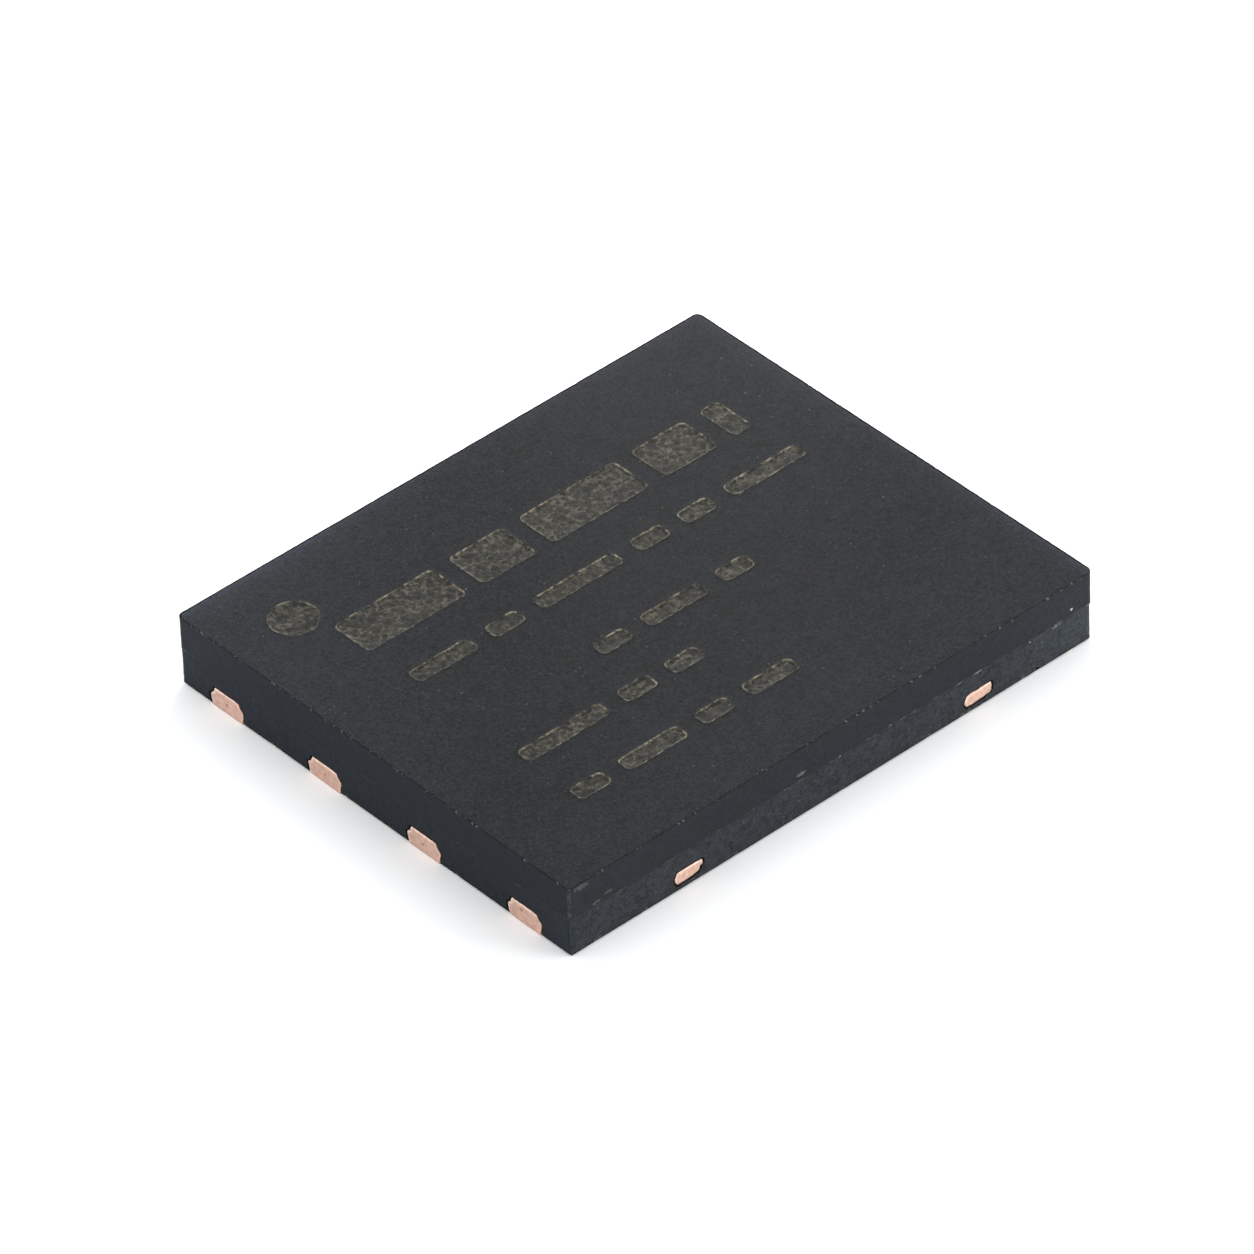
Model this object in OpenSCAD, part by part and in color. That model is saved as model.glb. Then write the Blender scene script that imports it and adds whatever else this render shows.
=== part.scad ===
// Flash memory chip in a flat leadless surface-mount package.
// A saw-cut moulded body is cast over an etched copper lead frame: four
// contacts on each short side and one thermal pad with four tie bars. The
// silicon die is glued to the pad and wired to the contacts inside the body.
//
// Millimetres. Origin at the middle of the seating plane, +X along the long
// side, +Z up. Contact 1 is at the -X +Y corner, 1 to 4 run down the -X side
// and 5 to 8 run up the +X side.

/* [Moulded body] */
// Length of the body along X
body_length = 6.0; // [5.9:0.01:6.1]
// Width of the body along Y
body_width = 5.0; // [4.9:0.01:5.1]
// Overall height above the seating plane
body_height = 0.75; // [0.72:0.01:0.8]
// Gap between the seating plane and the underside of the moulding
standoff = 0.02; // [0.01:0.005:0.04]
// Radius of the four upright corners
corner_radius = 0.06; // [0.04:0.01:0.15]
// Height of the line round the sides where the first, wider saw cut stops
cut_line_height = 0.40; // [0.3:0.01:0.5]
// How far the wider cut sets the lower half of each side back
cut_inset = 0.012; // [0.004:0.002:0.03]

/* [Lead frame] */
// Thickness of the copper sheet
frame_thickness = 0.203; // [0.18:0.001:0.22]
// Height above which the half-etched lips and tie bars are full metal
half_etch_height = 0.10; // [0.08:0.005:0.12]
// Spacing of the contacts
contact_pitch = 1.27; // [1.25:0.005:1.29]
// Width of a contact at its soldering face
contact_width = 0.40; // [0.35:0.01:0.45]
// Length of a contact's soldering face
contact_length = 0.60; // [0.5:0.01:0.7]
// How far the etched flanks swell past the soldering face, each side
contact_swell = 0.015; // [0.005:0.005:0.03]
// Width of a contact's lip that is locked in the moulding
lip_width = 0.50; // [0.46:0.01:0.56]
// Length of the thermal pad's face along X
pad_length = 3.40; // [3.2:0.01:3.5]
// Width of the thermal pad's face along Y
pad_width = 4.30; // [4.1:0.01:4.36]
// Chamfer at the thermal pad's corner beside contact 1
pad_chamfer = 0.35; // [0.2:0.01:0.45]
// Overhang of the pad's half-etched rim along X
pad_rim_x = 0.15; // [0.1:0.01:0.2]
// Overhang of the pad's half-etched rim along Y
pad_rim_y = 0.10; // [0.06:0.01:0.12]
// Distance of the tie bars from the middle, along X
tie_bar_x = 1.66; // [1.6:0.01:1.68]
// Width of a tie bar
tie_bar_width = 0.33; // [0.26:0.01:0.34]
// Height of a tie bar's lower face
tie_bar_floor = 0.08; // [0.07:0.005:0.1]

/* [Die] */
// Length of the die along X
die_length = 2.70; // [2.4:0.01:2.8]
// Width of the die along Y
die_width = 3.50; // [3.2:0.01:3.6]
// Thickness of the die
die_thickness = 0.20; // [0.15:0.01:0.22]
// Thickness of the adhesive film under the die
film_thickness = 0.02; // [0.015:0.005:0.03]

/* [Bond wires] */
// Diameter of a bond wire
wire_diameter = 0.023; // [0.02:0.001:0.025]
// Height of the control point that shapes the top of each wire's loop
loop_height = 0.64; // [0.58:0.01:0.66]
// Distance of the wires' first bond from the middle, along X
first_bond_x = 1.27; // [1.2:0.01:1.3]
// Distance of the wires' second bond from the middle, along X
second_bond_x = 2.52; // [2.46:0.01:2.56]

/* [Etched marks] */
// Depth of the laser-etched marks on the top
mark_depth = 0.012; // [0.008:0.002:0.02]
// Diameter of the round orientation dot
dot_diameter = 0.45; // [0.38:0.01:0.5]
// Height of the bold row's blocks
bold_height = 0.46; // [0.4:0.01:0.5]
// Height of the fine rows' bars
fine_height = 0.17; // [0.12:0.01:0.22]
// Gap between neighbouring marks in a row
mark_gap = 0.20; // [0.16:0.01:0.22]

/* [Hidden] */

arc_fn = 48;
over = 0.05;                                   // cutters run this far past a face
mold_colour = [0.23, 0.235, 0.25];
copper_colour = [0.78, 0.62, 0.56];
film_colour = [0.20, 0.19, 0.17];
silicon_colour = [0.42, 0.44, 0.50];
wire_colour = [0.86, 0.68, 0.34];

foot_length = body_length - 2 * cut_inset;     // lower half, after the wider cut
foot_width = body_width - 2 * cut_inset;
contact_end = foot_length / 2;                 // the cut ends are flush with it
tie_end = foot_width / 2;
film_floor = frame_thickness;
die_floor = film_floor + film_thickness;
die_top = die_floor + die_thickness;

// Contact i = 1..8: which side it is on, and where along the side
function contact_side(i) = i <= 4 ? -1 : 1;
function contact_y(i) = contact_pitch * (i <= 4 ? 2.5 - i : i - 6.5);

// Marks: one row each, as [left end, middle height, bar height, [lengths]]
mark_rows = [
    [-2.14,  1.22,  bold_height, [1.10, 0.60, 1.10, 0.60, 0.20]],
    [-2.10,  0.46,  fine_height, [0.66, 0.34, 0.92, 0.34, 0.34, 0.84]],
    [-0.74, -0.35,  fine_height, [0.34, 0.66, 0.34]],
    [-2.13, -0.96,  fine_height, [0.92, 0.34, 0.34]],
    [-2.14, -1.63,  fine_height, [0.34, 0.66, 0.34, 0.54]]
];
function sum_to(v, n) = n <= 0 ? 0 : v[n - 1] + sum_to(v, n - 1);

// ---- Moulded body -------------------------------------------------------

module rounded_rect(l, w, r) {
    square([l - 2 * r, w], center = true);
    square([l, w - 2 * r], center = true);
    for (sx = [-1, 1], sy = [-1, 1])
        translate([sx * (l / 2 - r), sy * (w / 2 - r)]) circle(r = r, $fn = arc_fn);
}

module bar_mark(l, h) {
    r = 0.05;
    translate([l / 2, 0]) rounded_rect(l, h, r);
}

module etched_marks() {
    translate([0, 0, body_height - mark_depth]) {
        // Orientation dot beside contact 1
        translate([-2.31, 1.77, 0])
            cylinder(d = dot_diameter, h = mark_depth + over, $fn = arc_fn);
        for (row = mark_rows, k = [0 : len(row[3]) - 1])
            translate([row[0] + sum_to(row[3], k) + k * mark_gap, row[1], 0])
                linear_extrude(mark_depth + over) bar_mark(row[3][k], row[2]);
    }
}

module mold_body() {
    color(mold_colour) difference() {
        union() {
            translate([0, 0, cut_line_height])
                linear_extrude(body_height - cut_line_height)
                    rounded_rect(body_length, body_width, corner_radius);
            translate([0, 0, standoff])
                linear_extrude(cut_line_height - standoff)
                    rounded_rect(foot_length, foot_width, corner_radius);
        }
        pad_shape(over);
        for (i = [1 : 8]) contact_shape(i, over);
        film_shape();
        die_shape();
        for (i = [1 : 8]) wire_shape(i);
        etched_marks();
    }
}

// ---- Lead frame ---------------------------------------------------------

// Section of a contact, etched from both faces to a soft ridge part way up
module contact_section(extra) {
    w = contact_width / 2;
    s = w + contact_swell;
    t = frame_thickness;
    polygon([[-w, -extra], [w, -extra], [w, 0], [w + 0.002, 0.04], [s, half_etch_height],
             [s - 0.004, 0.125], [w - 0.022, 0.155], [w - 0.040, t],
             [-w + 0.040, t], [-w + 0.022, 0.155], [-s + 0.004, 0.125],
             [-s, half_etch_height], [-w - 0.002, 0.04], [-w, 0]]);
}

// Outline of a contact seen from above, with its inner corners rounded
module contact_outline(extra) {
    w = contact_width / 2 + contact_swell;
    r = 0.08;
    x0 = contact_end - contact_length;
    translate([x0 + r, -w]) square([contact_length - r + extra, 2 * w]);
    translate([x0, -w + r]) square([2 * r, 2 * (w - r)]);
    for (s = [-1, 1]) translate([x0 + r, s * (w - r)]) circle(r = r, $fn = arc_fn);
}

// One contact on the +X side. extra lengthens it for use as a cutter
module contact_right(extra) {
    intersection() {
        translate([0, 0, -extra])
            linear_extrude(frame_thickness + extra) contact_outline(extra);
        translate([contact_end - contact_length - 0.1, 0, 0])
            rotate([90, 0, 90])
                linear_extrude(contact_length + 0.1 + extra) contact_section(extra);
    }
    // Lip, half-etched from below, that locks the contact in the moulding
    translate([contact_end - contact_length - 0.10, -lip_width / 2, half_etch_height])
        cube([0.40, lip_width, frame_thickness - half_etch_height]);
}

module contact_shape(i, extra = 0) {
    translate([0, contact_y(i), 0])
        if (contact_side(i) > 0) contact_right(extra);
        else mirror([1, 0, 0]) contact_right(extra);
}

module contact(i) { color(copper_colour) contact_shape(i); }

// Section of a tie bar, half-etched from below
module tie_bar_section() {
    w = tie_bar_width / 2;
    polygon([[-w + 0.02, tie_bar_floor], [w - 0.02, tie_bar_floor],
             [w, tie_bar_floor + 0.04], [w - 0.005, tie_bar_floor + 0.07],
             [w - 0.025, frame_thickness], [-w + 0.025, frame_thickness],
             [-w + 0.005, tie_bar_floor + 0.07], [-w, tie_bar_floor + 0.04]]);
}

module tie_bar(sx, sy, extra) {
    y0 = pad_width / 2 - 0.3;
    translate([sx * tie_bar_x, sy > 0 ? y0 : -tie_end - extra, 0])
        translate([0, tie_end + extra - y0, 0])
            rotate([90, 0, 0]) linear_extrude(tie_end + extra - y0) tie_bar_section();
}

module pad_shape(extra = 0) {
    l = pad_length / 2;
    w = pad_width / 2;
    c = pad_chamfer;
    translate([0, 0, -extra]) linear_extrude(frame_thickness + extra)
        polygon([[-l, -w], [l, -w], [l, w], [-l + c, w], [-l, w - c]]);
    translate([0, 0, half_etch_height])
        linear_extrude(frame_thickness - half_etch_height)
            rounded_rect(pad_length + 2 * pad_rim_x, pad_width + 2 * pad_rim_y, 0.08);
    for (sx = [-1, 1], sy = [-1, 1]) tie_bar(sx, sy, extra);
}

module die_pad() { color(copper_colour) pad_shape(); }

// ---- Die and film -------------------------------------------------------

module film_shape() {
    translate([-die_length / 2, -die_width / 2, film_floor])
        cube([die_length, die_width, film_thickness]);
}

module die_shape() {
    translate([-die_length / 2, -die_width / 2, die_floor])
        cube([die_length, die_width, die_thickness]);
}

module die_attach_film() { color(film_colour) film_shape(); }
module memory_die() { color(silicon_colour) die_shape(); }

// ---- Bond wires ---------------------------------------------------------
// Each wire is one swept tube: a pressed ball on the die, a loop over the
// die's edge, and a flattened stitch on the contact. A ring is given as
// [run, height, slope in degrees, half height, half width], where run is the
// distance from the first bond towards the second.

wire_sides = 8;
function bezier(a, b, c, d, t) =
    pow(1 - t, 3) * a + 3 * pow(1 - t, 2) * t * b + 3 * (1 - t) * t * t * c + pow(t, 3) * d;
function bezier_step(a, b, c, d, t) =
    pow(1 - t, 2) * (b - a) + 2 * (1 - t) * t * (c - b) + t * t * (d - c);

function wire_rings(run) =
    let (r = wire_diameter / 2,
         z0 = die_top + 0.030, z1 = frame_thickness + 0.030,
         x = [0, 0.03, run * 0.62, run - 0.09], z = [z0, loop_height, loop_height, z1])
    concat(
        [[0, die_top, 90, 0.028, 0.028], [0, die_top + 0.006, 90, 0.031, 0.031],
         [0, die_top + 0.014, 90, 0.026, 0.026], [0, die_top + 0.018, 90, r, r]],
        [for (k = [0 : 9]) let (t = k / 9)
            [bezier(x[0], x[1], x[2], x[3], t), bezier(z[0], z[1], z[2], z[3], t),
             atan2(bezier_step(z[0], z[1], z[2], z[3], t),
                   bezier_step(x[0], x[1], x[2], x[3], t)), r, r]],
        [[run - 0.045, frame_thickness + 0.010, -20, 0.009, 0.014],
         [run - 0.010, frame_thickness + 0.0055, 0, 0.006, 0.021],
         [run + 0.018, frame_thickness + 0.0036, 0, 0.004, 0.018]]);

// Corner j of a ring, kept on or above the contact's upper face
function ring_corner(ring, ux, uy, px, py, j) =
    let (a = 360 * (j + 0.5) / wire_sides,
         across = ring[4] * cos(a), up = ring[3] * sin(a),
         run = ring[0] - up * sin(ring[2]),
         z = ring[1] + up * cos(ring[2]))
    [px + ux * run - uy * across, py + uy * run + ux * across,
     max(z, frame_thickness)];

module wire_shape(i) {
    s = contact_side(i);
    yc = contact_y(i);
    x0 = s * first_bond_x;
    y0 = yc * 0.66;
    dx = s * second_bond_x - x0;
    dy = yc - y0;
    run = sqrt(dx * dx + dy * dy);
    rings = wire_rings(run);
    n = len(rings);
    m = wire_sides;
    points = [for (ring = rings, j = [0 : m - 1])
        ring_corner(ring, dx / run, dy / run, x0, y0, j)];
    faces = concat(
        [[for (j = [0 : m - 1]) j]],
        [for (k = [0 : n - 2], j = [0 : m - 1])
            [k * m + j, (k + 1) * m + j, (k + 1) * m + (j + 1) % m]],
        [for (k = [0 : n - 2], j = [0 : m - 1])
            [k * m + j, (k + 1) * m + (j + 1) % m, k * m + (j + 1) % m]],
        [[for (j = [m - 1 : -1 : 0]) (n - 1) * m + j]]);
    polyhedron(points = points, faces = faces);
}

module bond_wire(i) { color(wire_colour) wire_shape(i); }

// ---- Nodes --------------------------------------------------------------

mold_body();
die_pad();
contact(1);  // contact_1
contact(2);  // contact_2
contact(3);  // contact_3
contact(4);  // contact_4
contact(5);  // contact_5
contact(6);  // contact_6
contact(7);  // contact_7
contact(8);  // contact_8
die_attach_film();
memory_die();
bond_wire(1);  // bond_wire_1
bond_wire(2);  // bond_wire_2
bond_wire(3);  // bond_wire_3
bond_wire(4);  // bond_wire_4
bond_wire(5);  // bond_wire_5
bond_wire(6);  // bond_wire_6
bond_wire(7);  // bond_wire_7
bond_wire(8);  // bond_wire_8
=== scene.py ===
"""Looks of the flash memory chip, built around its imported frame.

All making is in millimetres in the row frame and is turned to metres when a
mesh is written. The moulded body and the copper pieces are refined meshes that
stand for their CAD nodes, and the sealed inner pieces keep their CAD meshes.
"""
import math

import bmesh
import bpy
import numpy as np
from mathutils import Matrix, Vector
from mathutils.geometry import delaunay_2d_cdt


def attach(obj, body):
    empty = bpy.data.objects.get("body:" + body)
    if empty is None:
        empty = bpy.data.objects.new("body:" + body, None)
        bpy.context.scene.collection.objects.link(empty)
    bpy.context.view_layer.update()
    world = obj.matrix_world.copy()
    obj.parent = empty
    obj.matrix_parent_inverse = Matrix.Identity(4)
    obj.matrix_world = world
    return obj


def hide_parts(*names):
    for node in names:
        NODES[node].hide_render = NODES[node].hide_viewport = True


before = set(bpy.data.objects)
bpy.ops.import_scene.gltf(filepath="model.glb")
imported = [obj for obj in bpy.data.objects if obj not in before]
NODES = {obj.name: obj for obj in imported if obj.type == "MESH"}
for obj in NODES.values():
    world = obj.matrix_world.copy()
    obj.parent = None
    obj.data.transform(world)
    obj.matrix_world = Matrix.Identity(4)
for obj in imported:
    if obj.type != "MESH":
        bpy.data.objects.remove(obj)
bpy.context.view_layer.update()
MM = 0.001

# ------------------------------------------------------------------ camera
# Fitted to the photograph's silhouette: a long lens, 39 degrees up.
CAM_AZ, CAM_EL, CAM_ROLL = math.radians(-40.61), math.radians(39.38), math.radians(-2.29)
CAM_TX, CAM_TY, CAM_DIST, CAM_F = -0.091, 0.287, 101.5, 11875.0

back = Vector((math.sin(CAM_AZ) * math.cos(CAM_EL), -math.cos(CAM_AZ) * math.cos(CAM_EL), math.sin(CAM_EL)))
right = Vector((math.cos(CAM_AZ), math.sin(CAM_AZ), 0.0))
up = back.cross(right)
cam_r = right * math.cos(CAM_ROLL) + up * math.sin(CAM_ROLL)
cam_u = up * math.cos(CAM_ROLL) - right * math.sin(CAM_ROLL)
cam_data = bpy.data.cameras.new("camera")
cam_data.sensor_width = 36.0
cam_data.lens = CAM_F / 1254.0 * 36.0
cam_data.clip_start, cam_data.clip_end = 0.001, 5.0
cam = bpy.data.objects.new("camera", cam_data)
bpy.context.scene.collection.objects.link(cam)
rot = Matrix((cam_r, cam_u, back)).transposed().to_4x4()
place = (back * CAM_DIST + cam_r * CAM_TX + cam_u * CAM_TY) * MM
cam.matrix_world = Matrix.Translation(place) @ rot
bpy.context.scene.camera = cam

# ------------------------------------------------------------------- noise


def _hash(ix, iy, iz, seed):
    n = (ix * 374761393 + iy * 668265263 + iz * 1274126177 + seed * 974634777) & 0xFFFFFFFF
    n = ((n ^ (n >> 13)) * 1274126177) & 0xFFFFFFFF
    n = ((n ^ (n >> 16)) * 2246822519) & 0xFFFFFFFF
    return ((n ^ (n >> 15)) & 0xFFFFFF) / float(0xFFFFFF) * 2.0 - 1.0


def noise(p, size, seed=0):
    """Smooth value noise, -1 to 1, whose features are about size millimetres."""
    q = np.asarray(p, float) / size
    i = np.floor(q).astype(np.int64)
    f = q - i
    f = f * f * f * (f * (f * 6 - 15) + 10)
    out = 0.0
    for dx in (0, 1):
        wx = f[:, 0] if dx else 1 - f[:, 0]
        for dy in (0, 1):
            wy = f[:, 1] if dy else 1 - f[:, 1]
            for dz in (0, 1):
                wz = f[:, 2] if dz else 1 - f[:, 2]
                out = out + wx * wy * wz * _hash(i[:, 0] + dx, i[:, 1] + dy, i[:, 2] + dz, seed)
    return out


def fbm(p, size, octaves=3, seed=0):
    total, amp, norm = 0.0, 1.0, 0.0
    for k in range(octaves):
        total = total + amp * noise(p, size / 2 ** k, seed + 17 * k)
        norm += amp
        amp *= 0.5
    return total / norm


def noise1(s, size, seed=0):
    s = np.atleast_1d(np.asarray(s, float))
    return noise(np.stack([s, s * 0 + 0.37, s * 0 + 0.61], 1), size, seed)


def smooth(a, b, x):
    t = np.clip((np.asarray(x, float) - a) / (b - a), 0, 1)
    return t * t * (3 - 2 * t)


# ------------------------------------------------------------- dimensions
HX, HY = 3.0, 2.5            # half length and half width of the upper half
INSET = 0.012                # the wider first saw cut sets the lower half back
CORNER = 0.06
# upright corners as seen: +X+Y, -X+Y, -X-Y (nearly sharp) and +X-Y
RAD = {1: 0.060, 3: 0.056, 5: 0.030, 7: 0.062}
RAD_LOW = {1: 0.050, 3: 0.020, 5: 0.026, 7: 0.042}
TOP, CUT, FLOOR = 0.75, 0.40, 0.02
FRAME_T = 0.203
PITCH = 1.27
END_X, END_Y = HX - INSET, HY - INSET

# Etched marks: the dot, and rows of plain bars, as (x of left end, y, height, lengths)
DOT = (-2.31, 1.77, 0.225)
ROWS = [
    (-2.14, 1.22, 0.46, (1.10, 0.60, 1.10, 0.60, 0.20)),
    (-2.10, 0.46, 0.17, (0.66, 0.34, 0.92, 0.34, 0.34, 0.84)),
    (-0.74, -0.35, 0.17, (0.34, 0.66, 0.34)),
    (-2.13, -0.96, 0.17, (0.92, 0.34, 0.34)),
    (-2.14, -1.63, 0.17, (0.34, 0.66, 0.34, 0.54)),
]
MARK_GAP, MARK_R, MARK_DEPTH = 0.20, 0.05, 0.012


class Build:
    """Collects vertices, faces and per-vertex values, in millimetres."""

    def __init__(self, names):
        self.names = names
        self.v, self.f, self.m, self.a, self.n = [], [], [], {k: [] for k in names}, 0

    def add(self, verts, faces, slot=0, **values):
        verts = np.asarray(verts, float).reshape(-1, 3)
        self.m.extend(slot if isinstance(slot, list) else [slot] * len(faces))
        start = self.n
        self.v.append(verts)
        self.n += len(verts)
        for k in self.names:
            val = values.get(k, 0.0)
            self.a[k].append(np.broadcast_to(np.asarray(val, float), (len(verts),)).copy())
        self.f.extend([[i + start for i in face] for face in faces])
        return start

    def mesh(self, name, weld=2e-8):
        verts = np.concatenate(self.v) * MM
        m = bpy.data.meshes.new(name)
        m.from_pydata(verts.tolist(), [], self.f)
        m.polygons.foreach_set("material_index", self.m)
        for k in self.names:
            att = m.attributes.new(k, "FLOAT", "POINT")
            att.data.foreach_set("value", np.concatenate(self.a[k]).astype(np.float32))
        bm = bmesh.new()
        bm.from_mesh(m)
        bmesh.ops.remove_doubles(bm, verts=bm.verts, dist=weld)
        loose = [v for v in bm.verts if not v.link_faces]
        bmesh.ops.delete(bm, geom=loose, context="VERTS")
        bmesh.ops.triangulate(bm, faces=[f for f in bm.faces if len(f.verts) > 4])
        bmesh.ops.recalc_face_normals(bm, faces=bm.faces)
        bm.to_mesh(m)
        bm.free()
        return m


def cdt(points, edges, eps=1e-7):
    """Constrained Delaunay triangles over the points, in their own numbering."""
    out = delaunay_2d_cdt([Vector((float(p[0]), float(p[1]))) for p in points], edges, [], 0, eps, True)
    verts, _, faces, orig = out[0], out[1], out[2], out[3]
    name = []
    for i, o in enumerate(orig):
        name.append(o[0] if len(o) else None)
    return [[name[i] for i in f] for f in faces if all(name[i] is not None for i in f)]


def inside(points, poly):
    """Which of the 2D points lie inside the polygon."""
    p, poly = np.asarray(points, float), np.asarray(poly, float)
    x, y = p[:, 0], p[:, 1]
    hit = np.zeros(len(p), bool)
    xa, ya = poly[-1]
    for xb, yb in poly:
        if ya != yb:
            cross = ((ya > y) != (yb > y)) & (x < (xb - xa) * (y - ya) / (yb - ya) + xa)
            hit ^= cross
        xa, ya = xb, yb
    return hit


def far_from(points, others, dist):
    """Which points are at least dist from all the others, by a grid of cells."""
    points, others = np.asarray(points, float), np.asarray(others, float)
    cells = {}
    for k, (x, y) in enumerate(others):
        cells.setdefault((int(x // dist), int(y // dist)), []).append(k)
    keep = np.ones(len(points), bool)
    for k, (x, y) in enumerate(points):
        cx, cy = int(x // dist), int(y // dist)
        for ix in (cx - 1, cx, cx + 1):
            for iy in (cy - 1, cy, cy + 1):
                near = cells.get((ix, iy))
                if near is not None:
                    o = others[near]
                    if ((o[:, 0] - x) ** 2 + (o[:, 1] - y) ** 2).min() < dist * dist:
                        keep[k] = False
                        break
            if not keep[k]:
                break
    return keep


def hex_grid(x0, x1, y0, y1, h, seed, jitter=0.22):
    rng = np.random.default_rng(seed)
    rows = []
    dy = h * 0.866
    for j, y in enumerate(np.arange(y0 + dy / 2, y1, dy)):
        xs = np.arange(x0 + (h / 2 if j % 2 else h), x1 - h * 0.3, h)
        rows.append(np.stack([xs, xs * 0 + y], 1))
    p = np.concatenate(rows)
    return p + rng.uniform(-jitter * h, jitter * h, p.shape)


# ---------------------------------------------- outline of the moulded body
# The loop runs anticlockwise from the +X side's lower end. A place on it is a
# station u: whole numbers are where a straight turns into a corner arc.
PER = 1400


def radii(inset):
    return RAD_LOW if inset > 0 else RAD


def seg_lens(inset):
    """Lengths of the loop's straights and corner arcs, in order."""
    hx, hy, r = HX - inset, HY - inset, radii(inset)
    q = math.pi / 2
    return [2 * hy - r[7] - r[1], q * r[1], 2 * hx - r[1] - r[3], q * r[3],
            2 * hy - r[3] - r[5], q * r[5], 2 * hx - r[5] - r[7], q * r[7]]


def stations():
    lens = seg_lens(0.0)
    total = sum(lens)
    u = []
    for k, length in enumerate(lens):
        n = 6 if k % 2 else int(round(PER * length / total))
        u += [k + i / n for i in range(n)]
    return np.array(u)


def outline(u, inset):
    """(x, y, nx, ny) at stations u on the loop set back by inset."""
    u = np.atleast_1d(np.asarray(u, float)) % 8
    k = np.floor(u).astype(int)
    t = u - k
    hx, hy, r, lens = HX - inset, HY - inset, radii(inset), seg_lens(inset)
    x, y, nx, ny = (np.zeros(len(u)) for _ in range(4))
    straight = {0: ((hx, r[7] - hy), (0, lens[0]), (1, 0)), 2: ((hx - r[1], hy), (-lens[2], 0), (0, 1)),
                4: ((-hx, hy - r[3]), (0, -lens[4]), (-1, 0)), 6: ((r[5] - hx, -hy), (lens[6], 0), (0, -1))}
    for s, ((px, py), (dx, dy), (mx, my)) in straight.items():
        m = k == s
        x[m], y[m] = px + dx * t[m], py + dy * t[m]
        nx[m], ny[m] = mx, my
    for s, (sx, sy, a0) in {1: (1, 1, 0), 3: (-1, 1, 90), 5: (-1, -1, 180), 7: (1, -1, 270)}.items():
        m = k == s
        a = np.radians(a0 + 90 * t[m])
        nx[m], ny[m] = np.cos(a), np.sin(a)
        x[m], y[m] = sx * (hx - r[s]) + r[s] * nx[m], sy * (hy - r[s]) + r[s] * ny[m]
    return x, y, nx, ny


def run_of(u, inset=0.0):
    """Length along the loop up to station u."""
    u = np.atleast_1d(np.asarray(u, float))
    lens = np.array(seg_lens(inset))
    cum = np.concatenate([[0], np.cumsum(lens)])
    k = np.clip(np.floor(u).astype(int), 0, 7)
    return cum[k] + (u - k) * lens[k]


U = stations()
NU = len(U)
S = run_of(U)
LOOP = run_of([8.0])[0]

# Chips in the edges: (place along the loop, half width, depth), repeatable
def chip_profile(count, seed, wide, deep, extra=()):
    g = np.random.default_rng(seed)
    prof, glow = np.zeros(NU), np.zeros(NU)
    items = [(g.uniform(0, LOOP), g.uniform(*wide), g.uniform(*deep) * g.uniform(0.4, 1.0)) for _ in range(count)]
    items += list(extra)
    for s0, w, d in items:
        if any(abs(s0 - c) < 0.10 or abs(s0 - c) > LOOP - 0.10 for c in run_of([1.5, 3.5, 5.5, 7.5])):
            continue
        ds = np.abs((S - s0 + LOOP / 2) % LOOP - LOOP / 2)
        shape = np.exp(-(ds / w) ** 2)
        prof = np.maximum(prof, d * shape)
        glow = np.maximum(glow, smooth(0.25, 0.8, shape))
    return prof, glow


def on_front(x):       # place along the loop of a point on the -Y side
    return run_of([6.0])[0] + (x + HX - RAD[5])


def on_left(y):        # the same for the -X side
    return run_of([4.0])[0] + (HY - RAD[3] - y)


# A few larger chips where the photograph shows them
top_extra = [(on_left(y), 0.010, 0.011) for y in (2.24, 1.67, 1.26, 0.75, 0.56, 0.36, 0.24, -0.35, -1.1)]
top_extra += [(on_front(x), 0.011, 0.012) for x in (0.26, 0.42, 1.15, 1.75, 2.05, 2.47, 2.75)]
top_chip, top_glow = chip_profile(60, 11, (0.008, 0.013), (0.003, 0.008), top_extra)
cut_extra = [(on_front(x), w, 0.012) for x, w in ((2.93, 0.035), (2.26, 0.012), (2.58, 0.05), (1.66, 0.05),
                                                  (0.63, 0.02), (0.06, 0.02), (1.44, 0.04), (-0.4, 0.05), (-1.9, 0.03))]
cut_chip, cut_glow = chip_profile(60, 12, (0.010, 0.030), (0.002, 0.010), cut_extra)
low_extra = [(on_front(2.73), 0.018, 0.021), (on_front(2.34), 0.024, 0.024), (on_left(1.2), 0.02, 0.010)]
low_chip, low_glow = chip_profile(45, 13, (0.010, 0.025), (0.003, 0.010), low_extra)
top_soft = 0.0052 + 0.0026 * noise1(S, 0.07, 3) + 0.0018 * noise1(S, 0.022, 4)

B = Build(["mark", "rim", "wear", "edge", "gap"])


def ring(inset_from_upper, z):
    """3D points of the loop with a set-back that may vary along it."""
    x, y, nx, ny = outline(U, 0.0)
    i = np.broadcast_to(inset_from_upper, (NU,))
    return np.stack([x - nx * i, y - ny * i, np.broadcast_to(z, (NU,)).copy()], 1)


def low_ring(extra, z):
    x, y, nx, ny = outline(U, INSET)
    i = np.broadcast_to(extra, (NU,))
    return np.stack([x - nx * i, y - ny * i, np.broadcast_to(z, (NU,)).copy()], 1)


def strip(a, b, va, vb, slot=0):
    """Quads between two rings; a is above b."""
    faces = [[i, (i + 1) % NU, NU + (i + 1) % NU, NU + i] for i in range(NU)]
    values = {k: np.concatenate([np.broadcast_to(va.get(k, 0.0), (NU,)), np.broadcast_to(vb.get(k, 0.0), (NU,))])
              for k in B.names}
    B.add(np.concatenate([a, b]), faces, slot, **values)


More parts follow.
